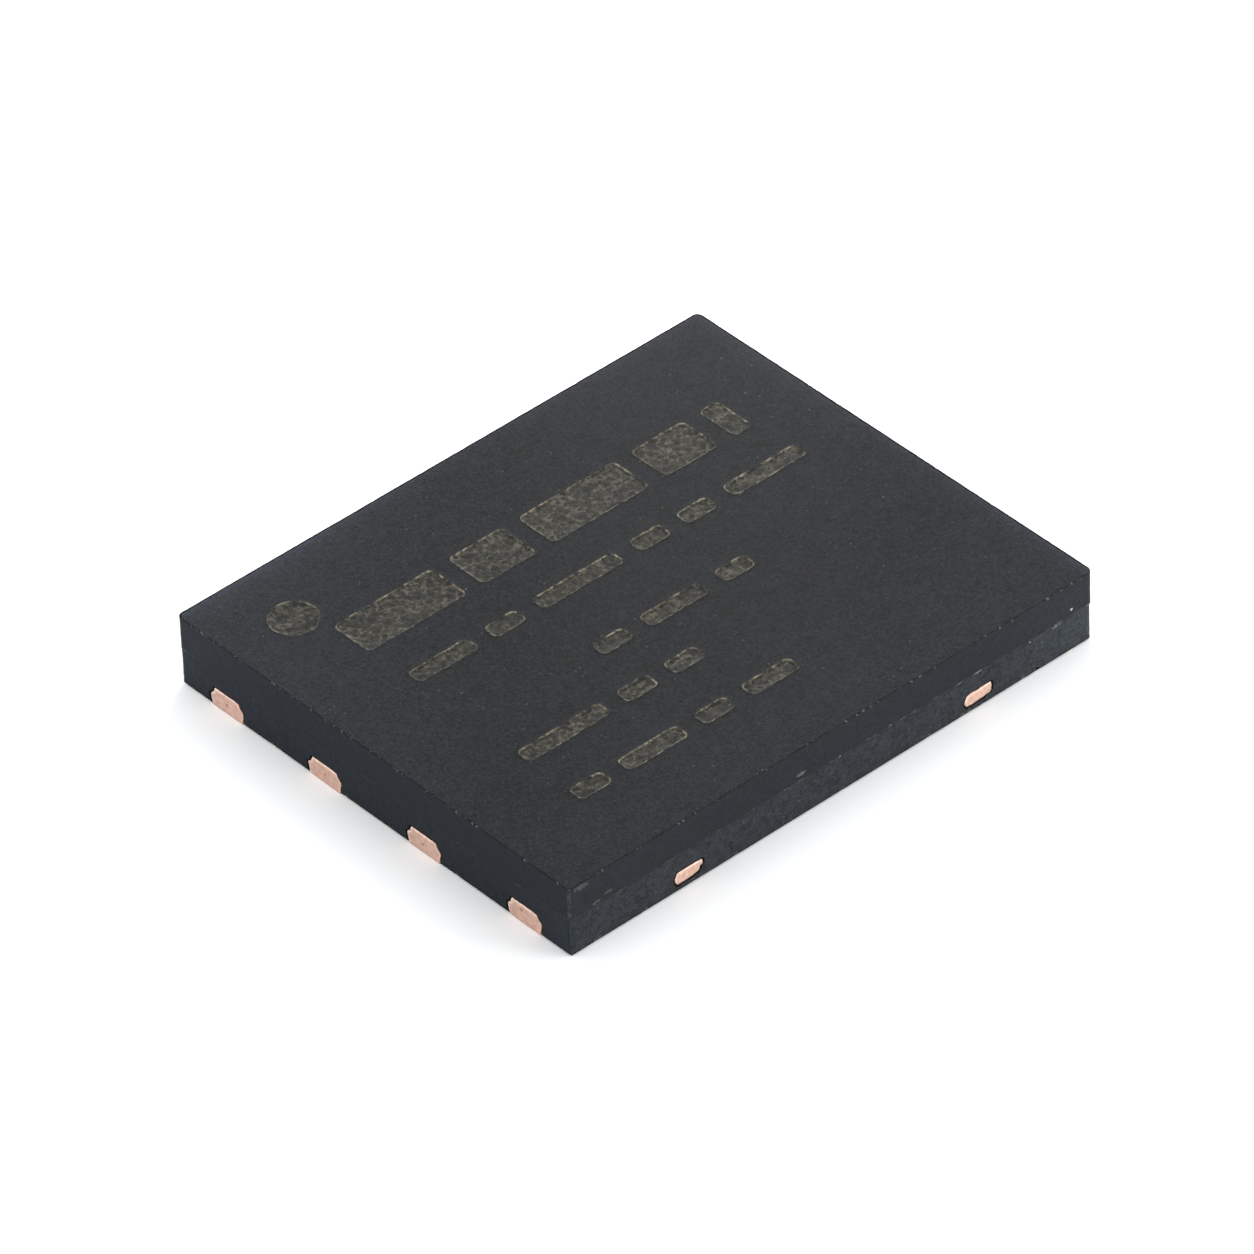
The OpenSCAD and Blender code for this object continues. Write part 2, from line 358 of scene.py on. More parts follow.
# ------------------------------------------------ top edge and upper walls
rho = top_soft + top_chip
top_band = 0.0065 + 0.0030 * noise1(S, 0.05, 6) + 0.0015 * noise1(S, 0.018, 7) + 0.0065 * (U < 4.0)
top_inner = ring(rho + top_band, TOP)
top_edge = ring(rho, TOP)
bevel_mid = ring(rho * 0.30, TOP - rho * 0.30)
edge_side = ring(0.0, TOP - rho)
e_attr = {"edge": 1.0, "wear": top_glow}
# painted shade: the strips along the +X and +Y top edges take the near-black edge material
far_edge_shade = [1 if u < 4.0 else 0 for u in U]      # the +X and +Y edges are the darker ones
strip(top_inner, top_edge, {"edge": 0.45}, {"edge": 0.9}, far_edge_shade)
strip(top_edge, bevel_mid, {"edge": 0.9}, e_attr, far_edge_shade)
strip(bevel_mid, edge_side, e_attr, {"edge": 0.8, "wear": top_glow * 0.7}, far_edge_shade)

x0, y0, nx0, ny0 = outline(U, 0.0)
z_rows = [TOP - 0.026] + list(np.linspace(TOP - 0.052, CUT + 0.032, 10)) + [CUT + 0.014]
prev, prev_v = edge_side, {"edge": 0.8, "wear": top_glow * 0.7}
for z in z_rows:
    r = ring(0.0, z)
    fade = min(1.0, (TOP - z) / 0.05, (z - CUT) / 0.05)
    d = (0.0016 * fbm(r, 0.11, 3, 21) + 0.0007 * noise(r, 0.035, 22)) * fade
    r[:, 0] += nx0 * (d - 0.0008)
    r[:, 1] += ny0 * (d - 0.0008)
    v = {"edge": 0.0}
    strip(prev, r, prev_v, v)
    prev, prev_v = r, v

# the line where the wider cut stops: a small undercut step with chipped lip
lip_z = CUT + 0.003 + cut_chip * 0.9 + 0.0012 * noise1(S, 0.05, 31)
short = np.array([1.0 if 4.0 <= u < 5.0 or u < 1.0 else 0.0 for u in U])
cut_glow = cut_glow * (1 - 0.7 * short)
# painted shade: the cut line carries the dark edge line, darker on the short sides
lip_edge = {"edge": 0.4 + 0.22 * short, "wear": cut_glow}
lip = ring(0.0006 + cut_chip * 0.35, lip_z)
strip(prev, lip, prev_v, lip_edge)
under = ring(0.004 + cut_chip * 0.55, CUT + 0.0006 + cut_chip * 0.5)
strip(lip, under, lip_edge, {"edge": 0.7, "wear": cut_glow})
step_in = low_ring(0.0, CUT - 0.0005 + 0.0008 * noise1(S, 0.06, 33))
strip(under, step_in, {"edge": 0.7, "wear": cut_glow}, {"edge": 0.5, "wear": cut_glow * 0.4})

# ----------------------------------------------------------- inner cavities
# Faces of the CAD body that aren't on its outside: the beds of the copper, the
# die and the wires. Their rims are split finely and eased a little.


def rect_gap(x, y, hx, hy, r):
    """Distance from a point to the rounded rectangle's outline."""
    qx, qy = abs(x) - (hx - r), abs(y) - (hy - r)
    return math.hypot(max(qx, 0), max(qy, 0)) + min(max(qx, qy), 0) - r


def contact_side(i):
    return -1 if i <= 4 else 1


def contact_y(i):
    return PITCH * (2.5 - i if i <= 4 else i - 6.5)


def end_warp(i, a, z):
    """Small irregularities of a contact's sawn end: a runs to the right when the
    end is looked at, from the contact's middle."""
    p = np.array([[a, z, i * 1.7]])
    da = 0.0045 * noise(p, 0.060, 41)[0] + 0.0014 * noise(p, 0.024, 42)[0]
    dz = 0.0028 * noise(p, 0.06, 43)[0] + 0.0010 * noise(p, 0.022, 44)[0]
    # the lower left corner is rolled over, the upper right one is clipped
    da += 0.020 * smooth(0.045, 0.0, z) * smooth(-0.12, -0.2, a) * (0.6 + 0.4 * math.sin(i * 2.1))
    da -= 0.006 * smooth(0.14, 0.2, z) * smooth(0.08, 0.16, a)
    dz -= 0.006 * smooth(0.10, 0.165, a) * smooth(0.14, 0.2, z)
    # the upper left corner is eased, over a shallow nick
    da += 0.007 * smooth(0.175, 0.203, z) * smooth(-0.12, -0.17, a)
    da += 0.007 * math.exp(-((z - 0.148) / 0.014) ** 2) * smooth(-0.12, -0.17, a)
    dz *= smooth(0.0, 0.02, z)
    return float(da), float(dz)


def tie_warp(k, a, z):
    p = np.array([[a, z, 9.3 + k * 2.3]])
    da = 0.007 * noise(p, 0.05, 51)[0] + 0.002 * noise(p, 0.018, 52)[0]
    dz = 0.005 * noise(p, 0.07, 53)[0] + 0.0016 * noise(p, 0.02, 54)[0]
    nub = 1.0 if k % 2 == 0 else 0.25
    # one end is cut back below, which leaves a small nub at its upper corner
    da -= 0.044 * nub * smooth(0.02, 0.15, a) * smooth(0.154, 0.134, z)
    da += 0.014 * nub * smooth(0.10, 0.15, a) * smooth(0.165, 0.19, z)
    dz -= 0.012 * smooth(-0.10, -0.16, a) * smooth(0.15, 0.2, z)
    dz += 0.014 * smooth(0.02, 0.13, a) * smooth(0.12, 0.08, z)
    return float(da), float(dz)


TIES = [(-1.66, -1), (1.66, -1), (1.66, 1), (-1.66, 1)]


def warp_end(co, grow=0.0):
    """Moves a point near a sawn copper end by that end's irregularities. grow
    pushes it away from the copper's middle, for the moulding's rim."""
    x, y, z = co
    if abs(x) > END_X - 0.031 and z < 0.21 and abs(y) < 2.2:
        i = min(range(1, 9), key=lambda j: abs(contact_y(j) - y) + (0 if contact_side(j) * x > 0 else 99))
        side = contact_side(i)
        a = (y - contact_y(i)) * side
        w = smooth(END_X - 0.030, END_X - 0.002, abs(x))
        da, dz = end_warp(i, a, z)
        if grow:
            r = math.hypot(a, z - 0.07) or 1.0
            da += grow * a / r
            dz += grow * max(z - 0.07, 0) / r
        return (x, y + side * da * w, z + dz * w)
    if abs(y) > END_Y - 0.031 and z < 0.21 and 1.3 < abs(x) < 2.0:
        k = min(range(4), key=lambda j: abs(TIES[j][0] - x) + (0 if TIES[j][1] * y > 0 else 99))
        side = TIES[k][1]
        a = -(x - TIES[k][0]) * side
        w = smooth(END_Y - 0.030, END_Y - 0.002, abs(y))
        da, dz = tie_warp(k, a, z)
        if grow:
            r = math.hypot(a, z - 0.14) or 1.0
            da += grow * a / r
            dz += grow * (z - 0.14) / r
        return (x - side * da * w, y, z + dz * w)
    return co


def split_edges(bm, edges, longest):
    for e in list(edges):
        n = int(math.ceil(e.calc_length() / MM / longest - 1e-6))
        v0 = e.verts[0]
        cur = e
        for k in range(n - 1):
            new_e, new_v = bmesh.utils.edge_split(cur, v0, 1.0 / (n - k))
            # the part that still has the far end is the one to split again
            v0 = new_v
            cur = cur if v0 in cur.verts and not (new_e.verts[0] in cur.verts and new_e.verts[1] in cur.verts) else new_e
            if cur.other_vert(v0) is None:
                break


cav = bmesh.new()
cav.from_mesh(NODES["mold_body"].data)
bmesh.ops.remove_doubles(cav, verts=cav.verts, dist=2e-8)
outer = []
for f in cav.faces:
    cs = [v.co / MM for v in f.verts]
    c = f.calc_center_median() / MM
    zs = [p.z for p in cs]
    if min(zs) > 0.70:
        outer.append(f)
    elif max(zs) - min(zs) < 2e-4 and abs(c.z - CUT) < 2e-4 and rect_gap(c.x, c.y, END_X, END_Y, CORNER) > -1e-3:
        outer.append(f)
    elif max(zs) - min(zs) < 2e-4 and abs(c.z - FLOOR) < 2e-4:
        outer.append(f)
    elif all(abs(rect_gap(p.x, p.y, HX, HY, CORNER)) < 4e-4 for p in cs) and min(zs) > CUT - 1e-3:
        outer.append(f)
    elif all(abs(rect_gap(p.x, p.y, END_X, END_Y, CORNER)) < 4e-4 for p in cs) and max(zs) < CUT + 1e-3:
        outer.append(f)
bmesh.ops.delete(cav, geom=outer, context="FACES")
bmesh.ops.delete(cav, geom=[v for v in cav.verts if not v.link_faces], context="VERTS")
rims = [e for e in cav.edges if len(e.link_faces) == 1]


def is_pad_rim(e):
    return all(abs(v.co.z / MM - FLOOR) < 1e-4 and abs(v.co.x / MM) < 2.0 for v in e.verts)


split_edges(cav, [e for e in rims if is_pad_rim(e)], 0.05)
split_edges(cav, [e for e in cav.edges if len(e.link_faces) == 1 and not is_pad_rim(e)], 0.014)
for v in cav.verts:
    if v.is_boundary:
        was = v.co / MM
        now = warp_end(was, 0.004)
        if abs(was.z - FLOOR) < 1e-4:        # this rim stays on the underside's plane
            now = (now[0], now[1], FLOOR)
        v.co = Vector(now) * MM
bmesh.ops.triangulate(cav, faces=cav.faces[:])
cav.verts.index_update()
cav_v = np.array([v.co / MM for v in cav.verts])
cav_f = [[v.index for v in f.verts] for f in cav.faces]
rim_edges = [(e.verts[0].index, e.verts[1].index) for e in cav.edges if len(e.link_faces) == 1]
cav.free()



def on_low_side(p):
    return abs(rect_gap(p[0], p[1], END_X, END_Y, CORNER)) < 1e-3


def side_run(p):
    """Length along the lower loop of a point on one of its straights."""
    x, y = p[0], p[1]
    if abs(x - END_X) < 2e-3:
        return run_of([0.0], INSET)[0] + (y + END_Y - RAD_LOW[7])
    if abs(y - END_Y) < 2e-3:
        return run_of([2.0], INSET)[0] + (END_X - RAD_LOW[1] - x)
    if abs(x + END_X) < 2e-3:
        return run_of([4.0], INSET)[0] + (END_Y - RAD_LOW[3] - y)
    return run_of([6.0], INSET)[0] + (x + END_X - RAD_LOW[5])


def chain(edges):
    """Splits edges into ordered chains of vertex numbers; closed ones repeat the first."""
    near = {}
    for a, b in edges:
        near.setdefault(a, []).append(b)
        near.setdefault(b, []).append(a)
    used, chains = set(), []
    for start in sorted(near, key=lambda k: (len(near[k]) != 1, k)):
        if start in used:
            continue
        c, cur, prev_k = [start], start, None
        used.add(start)
        while True:
            nxt = [k for k in near[cur] if k != prev_k and k not in used]
            if not nxt:
                if len(near[cur]) == 2 and start in near[cur] and len(c) > 2:
                    c.append(start)
                break
            prev_k, cur = cur, nxt[0]
            used.add(cur)
            c.append(cur)
        chains.append(c)
    return chains


side_edges = [e for e in rim_edges if all(on_low_side(cav_v[k]) for k in e)]
floor_edges = [e for e in rim_edges if all(abs(cav_v[k][2] - FLOOR) < 1e-4 for k in e)]
side_chains, floor_chains = chain(side_edges), chain(floor_edges)
# the rim of each sawn copper end is set back, as a fine groove, and these faces take the near-black edge material as
# painted shade
run_at = {k: side_run(cav_v[k]) for c in side_chains for k in c}
for k in run_at:
    ax = 0 if abs(abs(cav_v[k][0]) - END_X) < 2e-3 else 1
    cav_v[k][ax] -= math.copysign(0.009, cav_v[k][ax])
B.add(cav_v, cav_f, 1, gap=1.0)

# ------------------------------------------------------------- lower walls
SL = run_of(U, INSET)
LOOP_L = run_of([8.0], INSET)[0]
notches, holes2 = [], []
for c in side_chains:
    pts = np.array([[run_at[k], cav_v[k][2]] for k in c])
    if c[0] != c[-1]:
        a, b = sorted((pts[0], pts[-1]), key=lambda q: q[0])
        notches.append((a[0], b[0]))
        holes2.append(np.concatenate([pts, [[pts[-1][0], FLOOR - 0.1], [pts[0][0], FLOOR - 0.1]]]))
    else:
        holes2.append(pts[:-1])

# ring at the bottom, left out across the notches, with the notches' corners
in_notch = np.zeros(NU, bool)
for a, b in notches:
    in_notch |= (SL > a - 0.004) & (SL < b + 0.004)
low_up = low_chip * (~in_notch)
low_glow = low_glow * (1 - 0.75 * short)
edge_low = low_ring(low_up * 0.5, FLOOR + low_up * 0.7)
corner_idx = sorted({k for c in side_chains if c[0] != c[-1] for k in (c[0], c[-1])})
bottom_nodes = [(SL[i], ("r", i)) for i in range(NU) if not in_notch[i]] + [(run_at[k], ("c", k)) for k in corner_idx]
bottom_nodes.sort(key=lambda q: q[0])


def node_point(tag):
    return edge_low[tag[1]] if tag[0] == "r" else cav_v[tag[1]]


def notch_between(a, b):
    return any(n0 - 1e-6 <= a and b <= n1 + 1e-6 for n0, n1 in notches)


pts, p3, edges, attr = [], [], [], []     # 2D place, 3D place, constraint edges, values


def put(s, z, xyz, fixed=True, **val):
    pts.append((s, z))
    p3.append(None if xyz is None else tuple(xyz))
    attr.append(val)
    return len(pts) - 1


WALL_TOP = CUT - 0.0005
top_row = [put(SL[i], WALL_TOP, step_in[i], edge=0.5, wear=cut_glow[i] * 0.4) for i in range(NU)]
top_row.append(put(LOOP_L, WALL_TOP, step_in[0], edge=0.5, wear=cut_glow[0] * 0.4))
edges += list(zip(top_row[:-1], top_row[1:]))
low_row = []
for s, tag in bottom_nodes:
    g = 0.0 if tag[0] == "c" else low_glow[tag[1]] * 0.8
    low_row.append(put(s, FLOOR, node_point(tag), edge=0.5, wear=g, gap=1.0 if tag[0] == "c" else 0.0))
low_row.append(put(LOOP_L, FLOOR, edge_low[0], edge=0.5))
for a, b in zip(low_row[:-1], low_row[1:]):
    if not notch_between(pts[a][0], pts[b][0]):
        edges.append((a, b))
BAND = 0.0085
col_z = list(np.linspace(WALL_TOP, FLOOR, 15))[1:-1] + [FLOOR + BAND]
seam_xy = outline([0.0], INSET)
left_col = [put(0.0, z, (seam_xy[0][0], seam_xy[1][0], z)) for z in col_z]
right_col = [put(LOOP_L, z, (seam_xy[0][0], seam_xy[1][0], z)) for z in col_z]
for col, t, b in ((left_col, top_row[0], low_row[0]), (right_col, top_row[-1], low_row[-1])):
    line = [t] + col + [b]
    edges += list(zip(line[:-1], line[1:]))
band_row, band_s = [left_col[-1]], [0.0]
bx, by, bnx, bny = outline(U, INSET)
band_at = np.stack([SL, np.full(NU, FLOOR + BAND)], 1)
band_ok = ~in_notch
for h in holes2:
    band_ok &= ~inside(band_at, h) & (np.sqrt(((band_at[:, None] - h[None]) ** 2).sum(2)).min(1) > 0.007)
for i in range(1, NU):
    if band_ok[i]:
        up_by = BAND + 0.0030 * float(noise1(SL[i], 0.04, 35)[0]) + 0.0012 * float(noise1(SL[i], 0.014, 36)[0])
        z = FLOOR + up_by + float(low_up[i]) * 0.7
        band_row.append(put(SL[i], FLOOR + BAND, (bx[i] - bnx[i] * low_up[i] * 0.25, by[i] - bny[i] * low_up[i] * 0.25, z),
                            edge=0.25, wear=low_glow[i] * 0.6))
        band_s.append(SL[i])
band_row.append(right_col[-1])
band_s.append(LOOP_L)
for (a, sa), (b, sb) in zip(zip(band_row[:-1], band_s[:-1]), zip(band_row[1:], band_s[1:])):
    if not any(n0 < sb and n1 > sa for n0, n1 in notches):
        edges.append((a, b))
in_band = set(band_row) | set(low_row)
for c in side_chains:
    ids = []
    for k in c:
        if k in corner_idx:
            at = [low_row[j] for j, (s, tag) in enumerate(bottom_nodes) if tag == ("c", k)][0]
            ids.append(at)
        elif c[0] == c[-1] and k == c[0] and ids:
            ids.append(ids[0])
        else:
            ids.append(put(run_at[k], cav_v[k][2], cav_v[k], gap=1.0))
    edges += list(zip(ids[:-1], ids[1:]))
fixed_n = len(pts)
grid = hex_grid(0.0, LOOP_L, FLOOR, WALL_TOP, 0.027, 7)
keep = (grid[:, 1] > FLOOR + BAND + 0.010) & (grid[:, 1] < WALL_TOP - 0.011) & (grid[:, 0] > 0.012) & (grid[:, 0] < LOOP_L - 0.012)
for h in holes2:
    keep &= ~inside(grid, h)
grid = grid[keep]
# two extra rings of points close round each copper end carry the painted shade of the dark outline
rim_pts = []
for h in holes2:
    c = h.mean(0)
    if (h[:, 1] < FLOOR - 0.05).any():
        c = np.array([h[:, 0].mean(), 0.08])
    for off in (0.0125, 0.027):
        for q in h:
            if q[1] < FLOOR + 0.004:
                continue
            d = q - c
            d = d / (np.hypot(*d) or 1.0)
            w = q + d * off
            if FLOOR + BAND + 0.004 < w[1] < WALL_TOP - 0.01:
                rim_pts.append(w)
rim_pts = np.array(rim_pts)
ok = np.ones(len(rim_pts), bool)
for h in holes2:
    ok &= ~inside(rim_pts, h)
rim_pts = rim_pts[ok]
rim_pts = rim_pts[far_from(rim_pts, np.array(pts), 0.0075)]
grid = grid[far_from(grid, np.concatenate([np.array(pts)[top_row[-1] + 1:], rim_pts]), 0.016)]
free = np.concatenate([rim_pts, grid])
hole_pts = np.concatenate([h[h[:, 1] > FLOOR - 0.01] for h in holes2])


def hole_gap(q):
    best = np.full(len(q), 9.0)
    for k in range(0, len(hole_pts), 400):
        d = np.sqrt(((q[:, None, :] - hole_pts[None, k:k + 400, :]) ** 2).sum(2)).min(1)
        best = np.minimum(best, d)
    return best


def from_run(s):
    """Station of a length along the lower loop."""
    lens = np.array(seg_lens(INSET))
    cum = np.concatenate([[0], np.cumsum(lens)])
    k = np.clip(np.searchsorted(cum, s, side="right") - 1, 0, 7)
    return k + (s - cum[k]) / lens[k]


fu = from_run(free[:, 0])
fx, fy, fnx, fny = outline(fu, INSET)
f3 = np.stack([fx, fy, free[:, 1]], 1)
near_hole = hole_gap(free)
rough = 0.0026 * fbm(f3, 0.10, 3, 61) + 0.0012 * noise(f3, 0.03, 62)
rough *= smooth(0.0, 0.03, near_hole) * smooth(0.0, 0.02, WALL_TOP - f3[:, 2])
f3[:, 0] += fnx * (rough - 0.0010)
f3[:, 1] += fny * (rough - 0.0010)
allp = np.array(pts + [tuple(q) for q in free])
faces = cdt(allp, edges)
cent = np.array([allp[f].mean(0) for f in faces])
bad = np.zeros(len(faces), bool)
for h in holes2:
    bad |= inside(cent, h)
faces = [f for f, b in zip(faces, bad) if not b]
verts3 = np.concatenate([np.array(p3, float), f3])
vals = {k: np.concatenate([[a.get(k, 0.0) for a in attr], np.zeros(len(free))]) for k in B.names}
vals["gap"][len(attr):] = smooth(0.026, 0.006, near_hole)
gap_of = vals["gap"]
# painted shade: faces by the copper ends, and those in the band along the bottom of the walls, take the near-black edge
# material
slots = [1 if min(gap_of[f]) > 0.35 or all(k in in_band for k in f) else 0 for f in faces]
B.add(verts3, faces, slots, **vals)

# -------------------------------------------------------------- underside
pts, p3, edges, attr = [], [], [], []
node_id = {}
for s, tag in bottom_nodes:
    q = node_point(tag)
    node_id[tag] = put(q[0], q[1], q, edge=0.5)
order = [tag for _, tag in bottom_nodes]
for (sa, ta), (sb, tb) in zip(bottom_nodes, bottom_nodes[1:] + [(bottom_nodes[0][0] + LOOP_L, bottom_nodes[0][1])]):
    if not notch_between(sa, sb):
        edges.append((node_id[ta], node_id[tb]))
floor_polys = []
for c in floor_chains:
    ids = []
    for k in c:
        if ("c", k) in node_id:
            ids.append(node_id[("c", k)])
        elif c[0] == c[-1] and k == c[0] and ids:
            ids.append(ids[0])
        else:
            ids.append(put(cav_v[k][0], cav_v[k][1], cav_v[k], gap=1.0))
    edges += list(zip(ids[:-1], ids[1:]))
    poly = np.array([cav_v[k][:2] for k in c])
    if c[0] != c[-1]:
        out = np.sign(poly[0][0]) * 0.2
        poly = np.concatenate([poly, [[poly[-1][0] + out, poly[-1][1]], [poly[0][0] + out, poly[0][1]]]])
    floor_polys.append(poly)
fixed = np.array(pts)
grid = hex_grid(-END_X, END_X, -END_Y, END_Y, 0.062, 8)
gap_in = np.array([rect_gap(x, y, END_X, END_Y, CORNER) for x, y in grid])
keep = gap_in < -0.03
for poly in floor_polys:
    keep &= ~inside(grid, poly)
grid = grid[keep]
grid = grid[far_from(grid, fixed, 0.035)]
g3 = np.concatenate([grid, np.full((len(grid), 1), FLOOR)], 1)
g3[:, 2] += 0.0012 * fbm(g3, 0.2, 2, 71) - 0.0002
allp = np.concatenate([fixed, grid])
faces = cdt(allp, edges)
cent = np.array([allp[f].mean(0) for f in faces])
bad = ~inside(cent, [node_point(tag)[:2] for _, tag in bottom_nodes])
for poly in floor_polys:
    bad |= inside(cent, poly)
faces = [f for f, b in zip(faces, bad) if not b]
verts3 = np.concatenate([np.array(p3, float), g3])
vals = {k: np.concatenate([[a.get(k, 0.0) for a in attr], np.zeros(len(grid))]) for k in B.names}
B.add(verts3, faces, **vals)

# --------------------------------------------------------------- top face
pts, p3, edges, attr = [], [], [], []
ids = [put(q[0], q[1], q, edge=0.45) for q in top_inner]
edges += list(zip(ids, ids[1:] + ids[:1]))


def rr_points(cx, cy, l, w, r, step):
    """Points and outward normals round a rounded rectangle, anticlockwise."""
    out = []
    hx, hy = l / 2 - r, w / 2 - r
    arcs = [((cx + hx, cy + hy), 0), ((cx - hx, cy + hy), 90), ((cx - hx, cy - hy), 180), ((cx + hx, cy - hy), 270)]
    na = max(3, int(round(math.pi / 2 * r / step)))
    for k, ((ax, ay), a0) in enumerate(arcs):
        for j in range(na + 1):
            a = math.radians(a0 + 90.0 * j / na)
            out.append((ax + r * math.cos(a), ay + r * math.sin(a), math.cos(a), math.sin(a)))
        (bx, by), b0 = arcs[(k + 1) % 4]
        a = math.radians(b0)
        p, q = np.array(out[-1][:2]), np.array([bx + r * math.cos(a), by + r * math.sin(a)])
        n = int(np.hypot(*(q - p)) / step)
        for j in range(1, n):
            c = p + (q - p) * j / n
            out.append((c[0], c[1], math.cos(a), math.sin(a)))
    return np.array(out)


def round_points(cx, cy, r, step):
    n = int(2 * math.pi * r / step)
    a = np.arange(n) / n * 2 * math.pi
    return np.stack([cx + r * np.cos(a), cy + r * np.sin(a), np.cos(a), np.sin(a)], 1)


STEP = 0.013
shapes = [round_points(*DOT, STEP)]
for x_left, y_mid, high, lengths in ROWS:
    x = x_left
    for l in lengths:
        shapes.append(rr_points(x + l / 2, y_mid, l, high, MARK_R, STEP))
        x += l + MARK_GAP

# offset outwards, height, rim value, mark value
RINGS = [(0.013, 0.0002, 0.0, 0.0), (0.003, 0.0030, 1.0, 0.5), (-0.007, -0.0050, 0.55, 1.0), (-0.018, -0.0110, 0.0, 1.0)]
mark_in = []
for n_shape, sh in enumerate(shapes):
    p = np.concatenate([sh[:, :2], np.full((len(sh), 1), 3.1)], 1)
    wob = 0.0042 * noise(p, 0.045, 81) + 0.0022 * noise(p, 0.016, 82)
    for k, (off, h, rim, mark) in enumerate(RINGS):
        o = off + wob * (1.0 if k in (1, 2) else 0.6)
        q = sh[:, :2] + sh[:, 2:] * o[:, None]
        q3 = np.concatenate([q, np.full((len(q), 1), TOP + h)], 1)
        if k == 1:
            q3[:, 2] += 0.0016 * noise(p, 0.03, 83)
        if k == 3:
            q3[:, 2] += 0.0035 * fbm(q3, 0.055, 2, 84)
        strength = 0.55 + 0.45 * noise(p, 0.06, 85) if rim else np.zeros(len(p))
        idr = [put(a[0], a[1], b, rim=rim * float(np.clip(s_, 0.1, 1)), mark=mark) for a, b, s_ in zip(q, q3, strength)]
        edges += list(zip(idr, idr[1:] + idr[:1]))
        if k == 0:
            outer_poly = q
        if k == 3:
            mark_in.append(q)
    shapes[n_shape] = (sh, outer_poly)

fixed = np.array(pts)
grid = hex_grid(-HX, HX, -HY, HY, 0.0325, 9)
gap_in = np.array([rect_gap(x, y, HX, HY, CORNER) for x, y in grid])
keep = gap_in < -0.030
for sh, outer_poly in shapes:
    lo, hi = outer_poly.min(0) - 0.02, outer_poly.max(0) + 0.02
    m = (grid[:, 0] > lo[0]) & (grid[:, 0] < hi[0]) & (grid[:, 1] > lo[1]) & (grid[:, 1] < hi[1])
    idx = np.nonzero(m & keep)[0]
    if len(idx):
        keep[idx[inside(grid[idx], outer_poly)]] = False
grid = grid[keep]
grid = grid[far_from(grid, fixed, 0.017)]
g3 = np.concatenate([grid, np.full((len(grid), 1), TOP)], 1)
edge_fade = smooth(0.0, 0.05, -np.array([rect_gap(x, y, HX, HY, CORNER) for x, y in grid]))
g3[:, 2] += (0.00075 * fbm(g3, 0.13, 3, 91) + 0.0003 * noise(g3, 0.04, 92)) * edge_fade - 0.0003
inner = []
for n_shape, poly in enumerate(mark_in):
    lo, hi = poly.min(0), poly.max(0)
    g = hex_grid(lo[0], hi[0], lo[1], hi[1], 0.0215, 100 + n_shape, 0.3)
    g = g[inside(g, poly)]
    if len(g):
        inner.append(g[far_from(g, poly, 0.012)])
inner = np.concatenate(inner)
i3 = np.concatenate([inner, np.full((len(inner), 1), TOP - MARK_DEPTH + 0.001)], 1)
i3[:, 2] += 0.0050 * fbm(i3, 0.06, 3, 84)
allp = np.concatenate([fixed, grid, inner])
faces = cdt(allp, edges)
cent = np.array([allp[f].mean(0) for f in faces])
rim_poly = top_inner[:, :2]
bad = ~inside(cent, rim_poly)
faces = [f for f, b in zip(faces, bad) if not b]
verts3 = np.concatenate([np.array(p3, float), g3, i3])
vals = {k: np.concatenate([[a.get(k, 0.0) for a in attr], np.zeros(len(grid) + len(inner))]) for k in B.names}
vals["mark"][len(fixed) + len(grid):] = 1.0
B.add(verts3, faces, **vals)

mold_mesh = B.mesh("mold_body_shell")
mold = bpy.data.objects.new("mold_body_shell", mold_mesh)
bpy.context.scene.collection.objects.link(mold)
mold_mesh.polygons.foreach_set("use_smooth", [True] * len(mold_mesh.polygons))
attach(mold, "root")
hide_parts("mold_body")

# ------------------------------------------------------------ copper pieces
# Pits in the sawn ends, as (a, z, radius, depth) on each piece
PITS = {
    "contact_1": [(-0.005, 0.095, 0.013, 0.010), (-0.13, 0.05, 0.007, 0.005)],
    "contact_2": [(0.005, 0.100, 0.013, 0.010), (0.10, 0.06, 0.006, 0.005)],
    "contact_3": [(-0.015, 0.085, 0.013, 0.010), (-0.19, 0.065, 0.008, 0.006)],
    "contact_4": [(-0.045, 0.130, 0.016, 0.011), (0.08, 0.04, 0.006, 0.005)],
    "contact_5": [(0.02, 0.10, 0.012, 0.009)],
    "contact_6": [(-0.05, 0.08, 0.011, 0.008)],
    "contact_7": [(0.03, 0.12, 0.014, 0.010)],
    "contact_8": [(-0.08, 0.07, 0.010, 0.008), (0.12, 0.11, 0.007, 0.005)],
}


TIE_PITS = [[(0.02, 0.100, 0.010, 0.007)], [(0.098, 0.116, 0.016, 0.014), (0.015, 0.092, 0.013, 0.010)],
            [(-0.05, 0.12, 0.011, 0.008)], [(0.06, 0.15, 0.012, 0.009)]]


